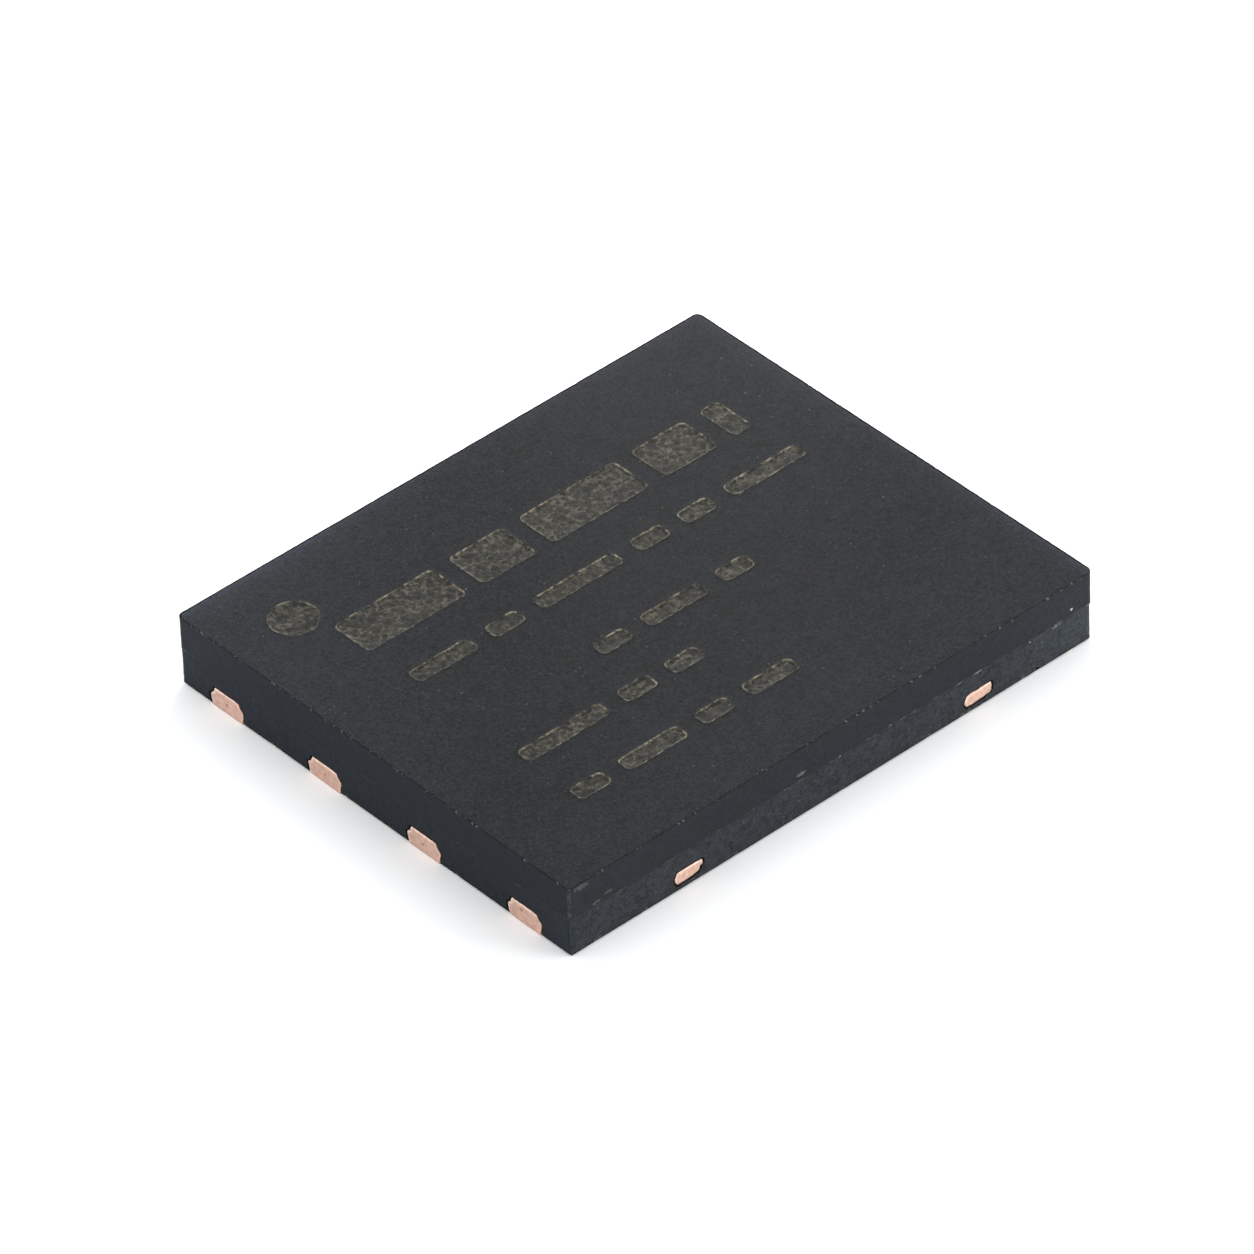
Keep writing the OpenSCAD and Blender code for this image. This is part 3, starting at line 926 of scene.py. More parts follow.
def end_face(bm, loops_axis, side, centre, pits, seed, layers):
    """Closes a sawn end with a fine face. The open rim lies on the end's plane."""
    cut_l, edge_l, pit_l, burr_l, painted_light_l = layers
    plane = END_X if loops_axis == 0 else END_Y
    rim = [e for e in bm.edges if len(e.link_faces) == 1
           and all(abs(v.co[loops_axis] / MM * side - plane) < 1e-3 for v in e.verts)]
    order = {}
    for e in rim:
        for v in e.verts:
            order.setdefault(v, len(order))
    vs = list(order)
    loop = chain([(order[e.verts[0]], order[e.verts[1]]) for e in rim])[0][:-1]

    def flat(co):
        if loops_axis == 0:
            return ((co[1] / MM - centre) * side, co[2] / MM)
        return (-(co[0] / MM - centre) * side, co[2] / MM)

    poly = np.array([flat(vs[k].co) for k in loop])
    pts = [tuple(q) for q in poly]
    edges = [(k, (k + 1) % len(loop)) for k in range(len(loop))]
    g = hex_grid(poly[:, 0].min(), poly[:, 0].max(), poly[:, 1].min(), poly[:, 1].max(), 0.0125, seed, 0.28)
    g = g[inside(g, poly)]
    g = g[far_from(g, poly, 0.0078)]
    allp = np.array(pts + [tuple(q) for q in g])
    p3 = np.concatenate([allp, np.full((len(allp), 1), seed * 1.3)], 1)
    dep = 0.0010 + 0.0012 * (fbm(p3, 0.05, 3, 201) + 0.4)
    dist = np.array([np.sqrt(((poly - q) ** 2).sum(1)).min() for q in allp])
    dep += 0.0022 * smooth(0.010, 0.0, dist)
    pit = np.zeros(len(allp))
    for a, z, r, d in pits:
        rr = np.hypot(allp[:, 0] - a, (allp[:, 1] - z) * 1.2) * (1 + 0.25 * noise(p3, 0.014, 202))
        w = smooth(1.25, 0.55, rr / r)
        dep += 0.6 * d * w
        pit = np.maximum(pit, w)
    # a bright burr along the upper and left edges
    near = np.array([((poly - q) ** 2).sum(1).argmin() for q in allp])
    away = poly[near] - allp
    nxt, bef = np.roll(poly, -1, 0), np.roll(poly, 1, 0)
    turn = 1.0 if (poly[:, 0] * nxt[:, 1] - nxt[:, 0] * poly[:, 1]).sum() > 0 else -1.0
    away[:len(poly)] = turn * np.stack([(nxt - bef)[:, 1], -(nxt - bef)[:, 0]], 1)
    away /= np.maximum(np.hypot(away[:, 0], away[:, 1]), 1e-9)[:, None]
    lean = 0.55 * away[:, 1] - 0.83 * away[:, 0]
    burr = smooth(0.028, 0.012, dist) * np.maximum(smooth(0.10, 0.6, lean), 0.5 * smooth(0.3, 0.9, away[:, 0]))
    burr *= 0.75 + 0.25 * noise(p3, 0.05, 203)
    dep -= 0.0012 * burr
    new = []
    for k, q in enumerate(allp):
        out = plane - max(float(dep[k]), 0.0)
        if k < len(loop):
            v = vs[loop[k]]
            v.co[loops_axis] = side * out * MM
        else:
            u = centre + q[0] * side if loops_axis == 0 else centre - q[0] * side
            co = (side * out, u, q[1]) if loops_axis == 0 else (u, side * out, q[1])
            v = bm.verts.new(Vector(co) * MM)
        v[cut_l] = 1.0
        v[edge_l] = float(smooth(0.010, 0.0, dist[k]))
        v[pit_l] = float(pit[k])
        v[burr_l] = float(burr[k])
        # marks the tie bars' ends; the copper material makes them lighter, as painted light
        v[painted_light_l] = float(loops_axis)
        new.append(v)
    tris = cdt(allp, edges)
    held = inside(np.array([allp[f].mean(0) for f in tris]), poly)
    for f, ok in zip(tris, held):
        if ok:
            bm.faces.new([new[k] for k in f])


def copper(node, ends):
    bm = bmesh.new()
    bm.from_mesh(NODES[node].data)
    bmesh.ops.remove_doubles(bm, verts=bm.verts, dist=2e-8)
    bmesh.ops.dissolve_limit(bm, angle_limit=math.radians(0.5), verts=bm.verts[:], edges=bm.edges[:])
    layers = [bm.verts.layers.float.new(k) for k in ("cut", "edge", "pit", "burr", "painted_light")]

    def at_end(v):
        return any(abs(v.co[ax] / MM * sd - (END_X if ax == 0 else END_Y)) < 1e-3 for ax, sd, _ in ends)

    low = [e for e in bm.edges if all(abs(v.co.z) < 1e-7 for v in e.verts) and not all(at_end(v) for v in e.verts)]
    bmesh.ops.bevel(bm, geom=low, offset=0.007 * MM, segments=2, affect="EDGES", profile=0.5)
    for ax, sd, _ in ends:
        plane = END_X if ax == 0 else END_Y
        for back_by in (0.030, 0.016, 0.006):
            at = [0, 0, 0]
            at[ax] = sd * (plane - back_by) * MM
            no = [0, 0, 0]
            no[ax] = sd
            bmesh.ops.bisect_plane(bm, geom=bm.verts[:] + bm.edges[:] + bm.faces[:], dist=1e-8, plane_co=at, plane_no=no)
    gone = [f for f in bm.faces if any(all(abs(v.co[ax] / MM * sd - (END_X if ax == 0 else END_Y)) < 1e-3
                                           for v in f.verts) for ax, sd, _ in ends)]
    bmesh.ops.delete(bm, geom=gone, context="FACES")
    near = [e for e in bm.edges if any(all(abs(v.co[ax] / MM * sd - (END_X if ax == 0 else END_Y)) < 0.0165
                                           for v in e.verts) for ax, sd, _ in ends)]
    split_edges(bm, [e for e in near if abs((e.verts[0].co - e.verts[1].co).z) > 1e-9
                     or all(at_end(v) for v in e.verts) or e.calc_length() > 0.011 * MM], 0.0105)
    for v in bm.verts:
        v.co = Vector(warp_end(v.co / MM, -0.0028)) * MM
    for k, (ax, sd, centre) in enumerate(ends):
        end_face(bm, ax, sd, centre, PITS.get(node, TIE_PITS[k]), 300 + len(node) + k * 7 + int("0" + node[-1:] if node[-1:].isdigit() else 9),
                 layers)
    bmesh.ops.triangulate(bm, faces=[f for f in bm.faces if len(f.verts) > 4])
    bmesh.ops.recalc_face_normals(bm, faces=bm.faces)
    mesh = bpy.data.meshes.new(node + "_copper")
    bm.to_mesh(mesh)
    bm.free()
    mesh.polygons.foreach_set("use_smooth", [False] * len(mesh.polygons))
    ob = bpy.data.objects.new(node + "_copper", mesh)
    bpy.context.scene.collection.objects.link(ob)
    mod = ob.modifiers.new("soft_edges", "WEIGHTED_NORMAL")
    mod.keep_sharp = True
    mesh.set_sharp_from_angle(angle=math.radians(32))
    mesh.polygons.foreach_set("use_smooth", [True] * len(mesh.polygons))
    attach(ob, "root")
    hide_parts(node)
    return ob


coppers = [copper("contact_%d" % i, [(0, contact_side(i), contact_y(i))]) for i in range(1, 9)]
coppers.append(copper("die_pad", [(1, sd, x) for x, sd in TIES]))

# ------------------------------------------------------------------ materials


class Tree:
    """Short hand for a material's nodes."""

    def __init__(self, name):
        self.mat = bpy.data.materials.new(name)
        self.mat.use_nodes = True
        self.t = self.mat.node_tree
        self.bsdf = self.t.nodes["Principled BSDF"]
        tc = self.t.nodes.new("ShaderNodeTexCoord")
        mul = self.t.nodes.new("ShaderNodeVectorMath")
        mul.operation = "SCALE"
        mul.inputs["Scale"].default_value = 1000.0
        self.t.links.new(tc.outputs["Object"], mul.inputs[0])
        self.p = mul.outputs[0]              # place on the part in millimetres

    def _in(self, socket, value):
        if isinstance(value, bpy.types.NodeSocket):
            self.t.links.new(value, socket)
        elif value is not None:
            socket.default_value = value

    def math(self, op, a, b=None, c=None, clamp=False):
        n = self.t.nodes.new("ShaderNodeMath")
        n.operation = op
        n.use_clamp = clamp
        for k, v in enumerate((a, b, c)):
            if v is not None:
                self._in(n.inputs[k], v)
        return n.outputs[0]

    def noise(self, scale, detail=2.0, rough=0.5, stretch=None, offset=(0.0, 0.0, 0.0)):
        n = self.t.nodes.new("ShaderNodeTexNoise")
        n.inputs["Scale"].default_value = scale
        n.inputs["Detail"].default_value = detail
        n.inputs["Roughness"].default_value = rough
        m = self.t.nodes.new("ShaderNodeMapping")
        m.inputs["Location"].default_value = offset
        if stretch:
            m.inputs["Scale"].default_value = stretch
        self.t.links.new(self.p, m.inputs["Vector"])
        self.t.links.new(m.outputs[0], n.inputs["Vector"])
        return n.outputs["Fac"]

    def cells(self, scale, feature="F1"):
        n = self.t.nodes.new("ShaderNodeTexVoronoi")
        n.feature = feature
        n.inputs["Scale"].default_value = scale
        self.t.links.new(self.p, n.inputs["Vector"])
        return n.outputs["Distance"], n.outputs["Color"]

    def attr(self, name):
        n = self.t.nodes.new("ShaderNodeAttribute")
        n.attribute_name = name
        return n.outputs["Fac"]

    def step(self, value, lo, hi, out_lo=0.0, out_hi=1.0):
        n = self.t.nodes.new("ShaderNodeMapRange")
        n.interpolation_type = "SMOOTHSTEP"
        self._in(n.inputs["Value"], value)
        for k, v in (("From Min", lo), ("From Max", hi), ("To Min", out_lo), ("To Max", out_hi)):
            n.inputs[k].default_value = v
        return n.outputs[0]

    def mix(self, fac, a, b, kind="MIX"):
        n = self.t.nodes.new("ShaderNodeMix")
        n.data_type = "RGBA"
        n.blend_type = kind
        self._in(n.inputs[0], fac)
        self._in(n.inputs[6], a if isinstance(a, bpy.types.NodeSocket) else (*a, 1.0))
        self._in(n.inputs[7], b if isinstance(b, bpy.types.NodeSocket) else (*b, 1.0))
        return n.outputs[2]

    def scale(self, colour, fac):
        n = self.t.nodes.new("ShaderNodeVectorMath")
        n.operation = "SCALE"
        self._in(n.inputs[0], colour)
        self._in(n.inputs["Scale"], fac)
        return n.outputs[0]

    def split(self, vec):
        n = self.t.nodes.new("ShaderNodeSeparateXYZ")
        self.t.links.new(vec, n.inputs[0])
        return n.outputs[0], n.outputs[1], n.outputs[2]

    def normal_z(self):
        g = self.t.nodes.new("ShaderNodeNewGeometry")
        return self.split(g.outputs["True Normal"])

    def bump(self, height, dist_mm, strength=1.0, under=None):
        n = self.t.nodes.new("ShaderNodeBump")
        n.inputs["Strength"].default_value = strength
        n.inputs["Distance"].default_value = dist_mm * MM
        self._in(n.inputs["Height"], height)
        if under is not None:
            self.t.links.new(under, n.inputs["Normal"])
        return n.outputs[0]

    def out(self, name, value):
        self._in(self.bsdf.inputs[name], value)


def srgb(r, g, b):
    return tuple(((c / 255 + 0.055) / 1.055) ** 2.4 if c > 10 else c / 255 / 12.92 for c in (r, g, b))


# moulding compound
T = Tree("mold_compound")
px, py, pz = T.split(T.p)
nx, ny, nz = T.normal_z()
is_side = T.step(T.math("ABSOLUTE", nz), 0.75, 0.35)
pz_soft = T.math("ADD", pz, T.math("MULTIPLY", T.math("SUBTRACT", T.noise(12.0, 3.0, 0.6, None, (1.0, 7.0, 4.0)), 0.5), 0.16))
is_low = T.math("MULTIPLY", is_side, T.step(pz_soft, CUT + 0.024, CUT - 0.036))
is_long = T.math("MULTIPLY", is_side, T.step(T.math("ABSOLUTE", ny), 0.6, 0.85))
fine = T.noise(62.0, 1.0, 0.5)
grain = T.noise(30.0, 2.0, 0.6)
mid = T.noise(7.5, 3.0, 0.6)
broad = T.noise(1.1, 2.0, 0.5)
spot_d, spot_c = T.cells(17.0)
sr, sg, sb = T.split(spot_c)
speck = T.math("MULTIPLY", T.step(sr, 0.76, 0.95), T.step(spot_d, 0.22, 0.10))
speck = T.math("MULTIPLY", speck, T.step(T.noise(1.7, 2.0, 0.5, None, (2.0, 2.0, 5.0)), 0.40, 0.62, 0.25, 1.0))
pock = T.math("MULTIPLY", T.step(sg, 0.86, 0.96), T.step(spot_d, 0.36, 0.16))
dust_d, dust_c = T.cells(5.0)
dr, dg, db = T.split(dust_c)
dust = T.math("MULTIPLY", T.step(dr, 0.93, 0.98), T.step(dust_d, 0.060, 0.030))
# value of the bare compound: 1 is the mean
v = T.math("ADD", 1.0, T.math("MULTIPLY", T.math("SUBTRACT", fine, 0.5), 2.3))
v = T.math("ADD", v, T.math("MULTIPLY", T.math("SUBTRACT", grain, 0.5), 2.2))
v = T.math("ADD", v, T.math("MULTIPLY", T.math("SUBTRACT", mid, 0.5), 0.8))
v = T.math("ADD", v, T.math("MULTIPLY", T.math("SUBTRACT", broad, 0.5), 0.25))
# sawn sides: streaks along the cut, cooler and mottled in the lower half
streak = T.noise(9.0, 3.0, 0.65, (0.35, 0.35, 2.2), (3.0, 1.0, 0.0))
blotch = T.noise(14.0, 4.0, 0.7, None, (7.0, 2.0, 5.0))
v_side = T.math("ADD", T.math("MULTIPLY", v, 0.55), 0.45)
v_up = T.math("ADD", v_side, T.math("MULTIPLY", T.math("SUBTRACT", streak, 0.5), 0.35))
v_up = T.math("ADD", v_up, T.math("MULTIPLY", T.math("SUBTRACT", blotch, 0.5), T.math("MULTIPLY", is_long, 0.7)))
v_low = T.math("ADD", v_side, T.math("MULTIPLY", T.math("SUBTRACT", blotch, 0.5), T.math("ADD", 0.6, T.math("MULTIPLY", is_long, 1.4))))
# painted light: the top is a little lighter towards the corners at the ends of this diagonal, towards the -Y side and
# towards the far corner
diag = T.math("SUBTRACT", T.math("MULTIPLY", py, 0.651), T.math("MULTIPLY", px, 0.759))
painted_light = T.math("ADD", T.step(diag, 0.9, 3.7, 0.67, 1.54), T.step(diag, -1.6, -3.8, 0.0, 0.24))
away = T.math("ADD", T.math("MULTIPLY", px, 0.651), T.math("MULTIPLY", py, 0.759))
painted_light = T.math("ADD", painted_light, T.math("ADD", T.step(py, -0.9, -2.4, 0.0, 0.24), T.step(away, 1.6, 3.2, 0.0, 0.12)))
# painted sheen: lighter still, and a little bluer, along the two far edges
far_in = T.math("MINIMUM", T.math("SUBTRACT", HX, px), T.math("SUBTRACT", HY, py))
glow = T.math("ADD", T.math("MULTIPLY", T.math("EXPONENT", T.math("DIVIDE", far_in, -0.030)), 1.7),
              T.math("MULTIPLY", T.math("EXPONENT", T.math("DIVIDE", far_in, -0.15)), 0.65))
painted_light = T.math("MULTIPLY", painted_light, T.math("ADD", 1.0, glow))
v_top = T.math("MAXIMUM", 0.10, T.math("ADD", painted_light, T.math("MULTIPLY", T.math("SUBTRACT", v, 1.0), 1.15)))
bare = T.scale(T.mix(T.step(glow, 0.0, 1.0), srgb(25, 26.8, 29.8), srgb(25, 27, 32)), v_top)
# painted light: the sides are lighter towards the +Y end, the long sides towards the +X end, and the lower half of the
# short sides towards -Y
painted_end_light = T.math("ADD", T.step(py, 0.9, 2.5, 1.0, 1.24), T.math("MULTIPLY", is_long, T.step(px, 1.4, 2.9, 0.0, 0.12)))
v_up, v_low = T.math("MULTIPLY", v_up, painted_end_light), T.math("MULTIPLY", v_low, T.math("MULTIPLY", painted_end_light, T.math(
    "ADD", 1.0, T.math("MULTIPLY", is_long, T.step(px, 1.8, 2.9, 0.0, 0.22)))))
v_low = T.math("ADD", v_low, T.math("MULTIPLY", T.step(is_long, 1.0, 0.0), T.step(py, -1.9, -2.5, 0.0, 0.4)))
# painted light: the long sides take lighter colours than the short ones, standing in for the lamps on the right
side_up = T.scale(T.mix(is_long, srgb(19.5, 24, 31), srgb(30, 32.8, 37)), v_up)
side_low = T.scale(T.mix(is_long, srgb(21.5, 26.5, 33.5), srgb(39.2, 42.7, 46.2)), v_low)
col = T.mix(is_side, bare, side_up)
col = T.mix(is_low, col, side_low)
off_side = T.math("SUBTRACT", 1.0, T.math("MULTIPLY", is_side, 0.85))
col = T.mix(T.math("MULTIPLY", T.math("MULTIPLY", speck, 0.40), off_side), col, srgb(98, 98, 96))
col = T.mix(T.math("MULTIPLY", T.math("MULTIPLY", pock, 0.38), off_side), col, srgb(12, 12, 13))
# short faint brown dashes in the top
dash = T.noise(26.0, 1.0, 0.5, (1.0, 2.2, 1.0), (11.0, 3.0, 0.0))
col = T.mix(T.math("MULTIPLY", T.math("MULTIPLY", T.step(dash, 0.68, 0.78), 0.40), off_side), col, srgb(70, 64, 54))
col = T.mix(T.math("MULTIPLY", T.math("MULTIPLY", dust, 0.45), off_side), col, srgb(120, 119, 114))
# light scrapes and specks on the sawn long side, most along the line of the cut
scrape = T.noise(48.0, 3.0, 0.7, (0.55, 1.0, 1.3), (0.0, 2.0, 9.0))
cut_near = T.step(T.math("ABSOLUTE", T.math("SUBTRACT", pz, CUT - 0.004)), 0.020, 0.004)
cut_spots = T.math("MULTIPLY", T.math("MULTIPLY", cut_near, is_long), T.step(scrape, 0.56, 0.66))
low_spots = T.math("MULTIPLY", T.math("MULTIPLY", is_low, is_long), T.step(scrape, 0.61, 0.71))
col = T.mix(T.math("MULTIPLY", cut_spots, 0.42), col, srgb(104, 106, 108))
col = T.mix(T.math("MULTIPLY", low_spots, 0.50), col, srgb(92, 97, 104))
up_nick = T.math("MULTIPLY", T.math("MULTIPLY", is_side, 0.25), T.step(scrape, 0.70, 0.78))
col = T.mix(up_nick, col, srgb(80, 84, 90))
edge_d, edge_c = T.cells(62.0)
er, eg, eb = T.split(edge_c)


ragged = T.math("MULTIPLY", T.math("SUBTRACT", T.noise(34.0, 3.0, 0.65, None, (3.0, 1.0, 8.0)), 0.5), 5.0)


def patch(along, at, z, wide, high):
    """A ragged patch on a side, at a place along it and a height."""
    a = T.math("POWER", T.math("DIVIDE", T.math("SUBTRACT", along, at), wide), 2.0)
    b = T.math("POWER", T.math("DIVIDE", T.math("SUBTRACT", pz, z), high), 2.0)
    lift = T.math("MULTIPLY", ragged, 1.0 if wide > 0.025 else 0.25)
    return T.step(T.math("ADD", T.math("ADD", a, b), lift), 1.0, 0.25)


on_near = T.step(py, -2.48, -2.486)
marks_side = None
for at, z, wide, high, strong in (
        (2.74, 0.468, 0.020, 0.016, 1.0), (2.932, 0.403, 0.030, 0.005, 0.9), (2.978, 0.60, 0.008, 0.010, 0.8),
        (2.264, 0.373, 0.014, 0.010, 0.8), (2.576, 0.370, 0.060, 0.018, 0.35), (1.661, 0.391, 0.050, 0.016, 0.35),
        (1.441, 0.390, 0.050, 0.005, 0.4), (0.628, 0.412, 0.014, 0.010, 0.7), (0.061, 0.394, 0.012, 0.009, 0.7),
        (-0.395, 0.477, 0.055, 0.022, 0.32), (-2.55, 0.48, 0.060, 0.020, 0.13), (-2.86, 0.700, 0.090, 0.030, 0.13),
        (-2.70, 0.44, 0.05, 0.02, 0.12)):
    m = T.math("MULTIPLY", patch(px, at, z, wide, high), strong)
    marks_side = m if marks_side is None else T.math("MAXIMUM", marks_side, m)
broken = T.step(T.noise(42.0, 2.0, 0.6, None, (6.0, 6.0, 2.0)), 0.30, 0.52, 0.35, 1.0)
marks_side = T.math("MULTIPLY", T.math("MULTIPLY", marks_side, on_near), broken)
on_end = T.step(px, -2.98, -2.986)
for at, z, wide, high, strong in ((2.42, 0.404, 0.034, 0.006, 0.45), (2.30, 0.400, 0.028, 0.006, 0.40), (2.17, 0.398, 0.040, 0.005, 0.30)):
    m = T.math("MULTIPLY", T.math("MULTIPLY", patch(py, at, z, wide, high), strong), T.math("MULTIPLY", on_end, broken))
    marks_side = T.math("MAXIMUM", marks_side, m)
col = T.mix(T.math("MULTIPLY", marks_side, 0.9), col, srgb(168, 170, 172))
# the upright corners are lighter
corner = T.math("MULTIPLY", T.step(T.math("ABSOLUTE", px), 2.968, 2.984), T.step(T.math("ABSOLUTE", py), 2.468, 2.484))
corner = T.math("MULTIPLY", T.math("MULTIPLY", corner, is_side), T.step(T.noise(20.0, 3.0, 0.65), 0.40, 0.60, 0.15, 1.0))
col = T.mix(T.math("MULTIPLY", corner, 0.35), col, srgb(84, 88, 92))
# etched marks: an olive, mottled floor inside a thin pale rim
mark, rim, wear, edge, gap = (T.attr(k) for k in ("mark", "rim", "wear", "edge", "gap"))
stroke = T.math("ABSOLUTE", T.math("SUBTRACT", T.noise(10.5, 2.0, 0.55, None, (1.0, 4.0, 0.0)), 0.5))
patchy = T.noise(7.0, 2.0, 0.5, None, (4.0, 1.0, 0.0))
speckled = T.step(T.noise(21.0, 2.0, 0.65, None, (8.0, 4.0, 1.0)), 0.38, 0.64)
m_n = T.math("MULTIPLY", T.step(stroke, 0.085, 0.015), T.step(patchy, 0.34, 0.56, 0.25, 1.0))
m_n = T.math("ADD", T.math("MULTIPLY", T.math("MULTIPLY", m_n, T.step(speckled, 0.0, 1.0, 0.45, 1.0)), 0.70),
             T.math("MULTIPLY", speckled, 0.32))
floor_col = T.mix(m_n, srgb(31, 30, 27), srgb(89, 85, 74))
col = T.mix(T.math("MULTIPLY", T.step(mark, 0.4, 0.95), 0.80), col, floor_col)
rim_n = T.step(T.noise(24.0, 2.0, 0.5, None, (2.0, 8.0, 0.0)), 0.36, 0.60, 0.15, 1.0)
rim_f = T.math("MULTIPLY", T.step(rim, 0.15, 0.9), rim_n)
col = T.mix(T.math("MULTIPLY", rim_f, 0.88), col, srgb(146, 138, 118))
# edges: a dark broken line of painted shade, with pale chips of wear
edge_n = T.noise(24.0, 2.0, 0.6, None, (5.0, 0.0, 3.0))
col = T.mix(T.math("MULTIPLY", T.step(edge, 0.3, 0.95), T.step(edge_n, 0.40, 0.58, 0.08, 0.66)), col, srgb(9, 9, 10))
dots = T.math("MULTIPLY", T.step(er, 0.90, 0.93), T.step(edge_d, 0.42, 0.20))
col = T.mix(T.math("MULTIPLY", T.math("MULTIPLY", T.step(edge, 0.40, 0.55), dots), 0.65), col, srgb(128, 128, 124))
wear_n = T.step(T.noise(55.0, 2.0, 0.6, None, (9.0, 9.0, 1.0)), 0.36, 0.62)
col = T.mix(T.math("MULTIPLY", T.math("MULTIPLY", wear, wear_n), 0.75), col, srgb(134, 131, 122))
# painted shade: a dark brown outline round each copper end
col = T.mix(T.math("MULTIPLY", T.step(gap, 0.35, 1.0), 0.75), col, srgb(34, 27, 24))
T.out("Base Color", col)
rough = T.math("ADD", 0.60, T.math("MULTIPLY", T.math("SUBTRACT", grain, 0.5), 0.25))
T.out("Roughness", rough)
T.bsdf.inputs["Specular IOR Level"].default_value = 0.12
h = T.math("ADD", T.math("MULTIPLY", fine, 0.5), T.math("MULTIPLY", grain, 0.8))
h = T.math("ADD", h, T.math("MULTIPLY", T.math("MULTIPLY", blotch, is_low), 1.4))
h = T.math("ADD", h, T.math("MULTIPLY", T.math("MULTIPLY", m_n, mark), 1.0))
T.out("Normal", T.bump(h, 0.0060, 0.55))
mold_mesh.materials.append(T.mat)

# the moulding's edges and grooves, painted near black as shade, with pale chips
T = Tree("mold_edges_painted_shade")
wear = T.attr("wear")
fine = T.noise(50.0, 2.0, 0.6)
col = T.mix(T.step(T.noise(26.0, 2.0, 0.6), 0.40, 0.62), srgb(9, 9, 9), srgb(26, 26, 27))
chip = T.math("MULTIPLY", T.step(wear, 0.30, 0.75), T.step(fine, 0.36, 0.60))
col = T.mix(T.math("MULTIPLY", chip, 0.85), col, srgb(140, 138, 130))
T.out("Base Color", col)
T.bsdf.inputs["Roughness"].default_value = 0.85
T.bsdf.inputs["Specular IOR Level"].default_value = 0.02
T.out("Normal", T.bump(fine, 0.004, 0.4))
mold_mesh.materials.append(T.mat)

# sawn copper with matte tin on the soldering faces
T = Tree("lead_frame")
px, py, pz = T.split(T.p)
nx, ny, nz = T.normal_z()
cut, edge, pit, burr = (T.attr(k) for k in ("cut", "edge", "pit", "burr"))
tin = T.math("MULTIPLY", T.step(nz, -0.5, -0.85), T.step(pz, 0.016, 0.010))
fine = T.noise(60.0, 2.0, 0.6)
grain = T.noise(22.0, 3.0, 0.6, None, (3.0, 3.0, 3.0))
saw = T.noise(26.0, 2.0, 0.5, (0.25, 0.25, 2.0), (0.0, 5.0, 0.0))
cc = T.mix(T.step(grain, 0.25, 0.75), srgb(194, 158, 140), srgb(219, 183, 166))
cc = T.mix(T.math("MULTIPLY", T.step(saw, 0.55, 0.75), 0.35), cc, srgb(240, 208, 194))
cc = T.mix(T.math("MULTIPLY", T.step(fine, 0.66, 0.78), 0.3), cc, srgb(160, 112, 94))
# painted light: the tie bars' ends are a quarter lighter than the contacts' ends
cc = T.scale(cc, T.math("ADD", 1.0, T.math("MULTIPLY", T.attr("painted_light"), 0.25)))
# painted shade: a dark reddish outline along the edge of each sawn end
cc = T.mix(T.math("MULTIPLY", T.step(edge, 0.40, 1.0), 0.60), cc, srgb(110, 68, 54))
cc = T.mix(T.math("MULTIPLY", burr, 0.85), cc, srgb(252, 228, 214))
cc = T.mix(T.math("MULTIPLY", T.math("MULTIPLY", pit, T.step(fine, 0.30, 0.60, 0.45, 0.85)), 1.0), cc, srgb(92, 62, 50))
inner = T.mix(T.step(grain, 0.3, 0.7), srgb(150, 100, 76), srgb(182, 128, 100))
col = T.mix(cut, inner, cc)
tin_c = T.mix(T.step(grain, 0.3, 0.7), srgb(166, 168, 168), srgb(190, 191, 189))
col = T.mix(tin, col, tin_c)
T.out("Base Color", col)
T.out("Roughness", T.math("ADD", 0.44, T.math("MULTIPLY", T.math("SUBTRACT", grain, 0.5), 0.35)))
T.bsdf.inputs["Metallic"].default_value = 0.85
h = T.math("ADD", T.math("MULTIPLY", fine, 0.6), T.math("MULTIPLY", saw, 0.8))
h = T.math("ADD", h, grain)
T.out("Normal", T.bump(h, 0.0035, 0.5))
for ob in coppers:
    ob.data.materials.append(T.mat)

# sealed inner pieces
T = Tree("attach_film")
g = T.noise(40.0, 2.0, 0.6)
T.out("Base Color", T.mix(T.step(g, 0.3, 0.7), srgb(66, 58, 44), srgb(92, 82, 62)))
T.bsdf.inputs["Roughness"].default_value = 0.7
film_mat = T.mat

T = Tree("silicon")
g = T.noise(3.0, 3.0, 0.6)
_, cell = T.cells(9.0)
cr, cg, cb = T.split(cell)
T.out("Base Color", T.mix(T.step(T.math("ADD", T.math("MULTIPLY", g, 0.5), T.math("MULTIPLY", cr, 0.5)), 0.2, 0.8),
                          srgb(92, 96, 112), srgb(128, 128, 136)))
T.bsdf.inputs["Roughness"].default_value = 0.16
T.bsdf.inputs["Metallic"].default_value = 0.55
die_mat = T.mat

T = Tree("bond_wire")
g = T.noise(30.0, 2.0, 0.6)
T.out("Base Color", T.mix(T.step(g, 0.3, 0.7), srgb(226, 178, 88), srgb(244, 206, 124)))
T.bsdf.inputs["Roughness"].default_value = 0.22
T.bsdf.inputs["Metallic"].default_value = 1.0
wire_mat = T.mat

for name, ob in NODES.items():
    m = film_mat if name == "die_attach_film" else die_mat if name == "memory_die" else \
        wire_mat if name.startswith("bond_wire") else None
    if m is not None:
        ob.data.materials.clear()
        ob.data.materials.append(m)

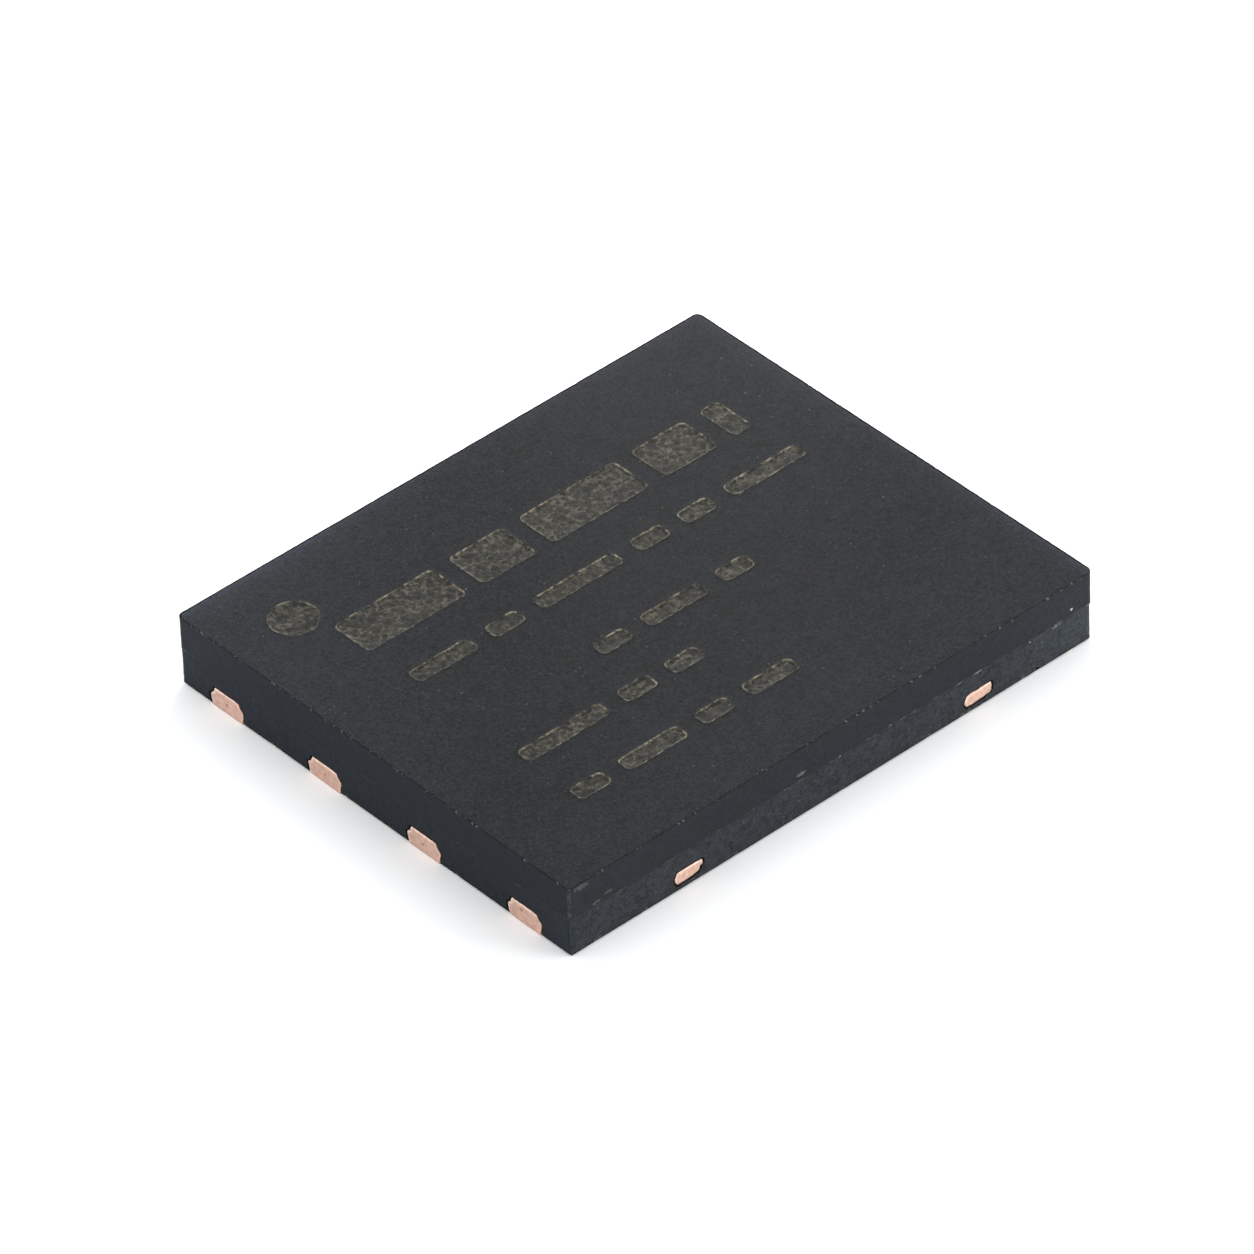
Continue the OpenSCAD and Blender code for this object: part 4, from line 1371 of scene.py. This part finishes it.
# ---------------------------------------------------------------------- stage
# A white floor. Under the chip it has an opening, and it is clear from below,
# so the underside can be seen and lit.
R, hx, hy, low = 0.6, (END_X - 0.019) * MM, (END_Y - 0.019) * MM, -0.0006 * MM
fv = [(-R, -R, low), (R, -R, low), (R, R, low), (-R, R, low), (-hx, -hy, low), (hx, -hy, low), (hx, hy, low), (-hx, hy, low)]
ff = [(0, 1, 5, 4), (1, 2, 6, 5), (2, 3, 7, 6), (3, 0, 4, 7)]
floor_mesh = bpy.data.meshes.new("floor")
floor_mesh.from_pydata(fv, [], ff)
floor = bpy.data.objects.new("floor", floor_mesh)
bpy.context.scene.collection.objects.link(floor)
T = Tree("floor_white")
T.bsdf.inputs["Base Color"].default_value = (0.90, 0.90, 0.90, 1.0)
T.bsdf.inputs["Roughness"].default_value = 1.0
T.bsdf.inputs["Specular IOR Level"].default_value = 0.0
geo = T.t.nodes.new("ShaderNodeNewGeometry")
clear = T.t.nodes.new("ShaderNodeBsdfTransparent")
two = T.t.nodes.new("ShaderNodeMixShader")
T.t.links.new(geo.outputs["Backfacing"], two.inputs[0])
T.t.links.new(T.bsdf.outputs[0], two.inputs[1])
T.t.links.new(clear.outputs[0], two.inputs[2])
T.t.links.new(two.outputs[0], T.t.nodes["Material Output"].inputs["Surface"])
floor_mesh.materials.append(T.mat)

# Seen from above, the opening is a dark sheet of painted shadow, standing for the shaded floor under a chip. No light
# stops at this plane, and it is clear from below too.
shadow_sheet_mesh = bpy.data.meshes.new("floor_opening_shadow")
shadow_sheet_mesh.from_pydata([(-hx, -hy, low), (hx, -hy, low), (hx, hy, low), (-hx, hy, low)], [], [(0, 1, 2, 3)])
shadow_sheet = bpy.data.objects.new("floor_opening_shadow", shadow_sheet_mesh)
bpy.context.scene.collection.objects.link(shadow_sheet)
T = Tree("floor_painted_shadow")
T.bsdf.inputs["Base Color"].default_value = (0.03, 0.03, 0.03, 1.0)
T.bsdf.inputs["Roughness"].default_value = 1.0
T.bsdf.inputs["Specular IOR Level"].default_value = 0.0
geo = T.t.nodes.new("ShaderNodeNewGeometry")
clear = T.t.nodes.new("ShaderNodeBsdfTransparent")
two = T.t.nodes.new("ShaderNodeMixShader")
T.t.links.new(geo.outputs["Backfacing"], two.inputs[0])
T.t.links.new(T.bsdf.outputs[0], two.inputs[1])
T.t.links.new(clear.outputs[0], two.inputs[2])
T.t.links.new(two.outputs[0], T.t.nodes["Material Output"].inputs["Surface"])
shadow_sheet_mesh.materials.append(T.mat)
shadow_sheet.visible_diffuse = shadow_sheet.visible_glossy = shadow_sheet.visible_transmission = shadow_sheet.visible_shadow = False

world = bpy.data.worlds.new("world")
bpy.context.scene.world = world
world.use_nodes = True
bg = world.node_tree.nodes["Background"]
bg.inputs["Color"].default_value = (0.985, 1.0, 1.012, 1.0)
bg.inputs["Strength"].default_value = 1.3


def area(name, at_mm, size_mm, radiance, aim=(0.0, 0.0, 0.0), colour=(1.0, 1.0, 1.0)):
    """A round soft light, whose surface has the given radiance."""
    data = bpy.data.lights.new(name, "AREA")
    data.shape = "DISK"
    data.size = size_mm * MM
    data.energy = radiance * math.pi * math.pi * (size_mm * MM / 2) ** 2
    data.color = colour
    ob = bpy.data.objects.new(name, data)
    bpy.context.scene.collection.objects.link(ob)
    ob.visible_camera = False
    here, there = Vector(at_mm) * MM, Vector(aim) * MM
    ob.matrix_world = Matrix.Translation(here) @ (here - there).to_track_quat("Z", "Y").to_matrix().to_4x4()
    return ob


area("right_fill", (60.0, -75.0, 62.0), 60.0, 3.6)
area("back_sheen", (6.5, 6.5, 6.0), 5.0, 6.5, (2.0, 1.5, 0.7))
area("right_near", (11.0, -8.5, 2.6), 5.0, 4.5, (2.5, -2.5, 0.4))
area("left_near", (-7.0, 8.5, 4.0), 5.0, 2.0, (-3.0, 2.3, 0.5))
bpy.context.scene.view_settings.view_transform = "Standard"
bpy.context.scene.view_settings.look = "None"
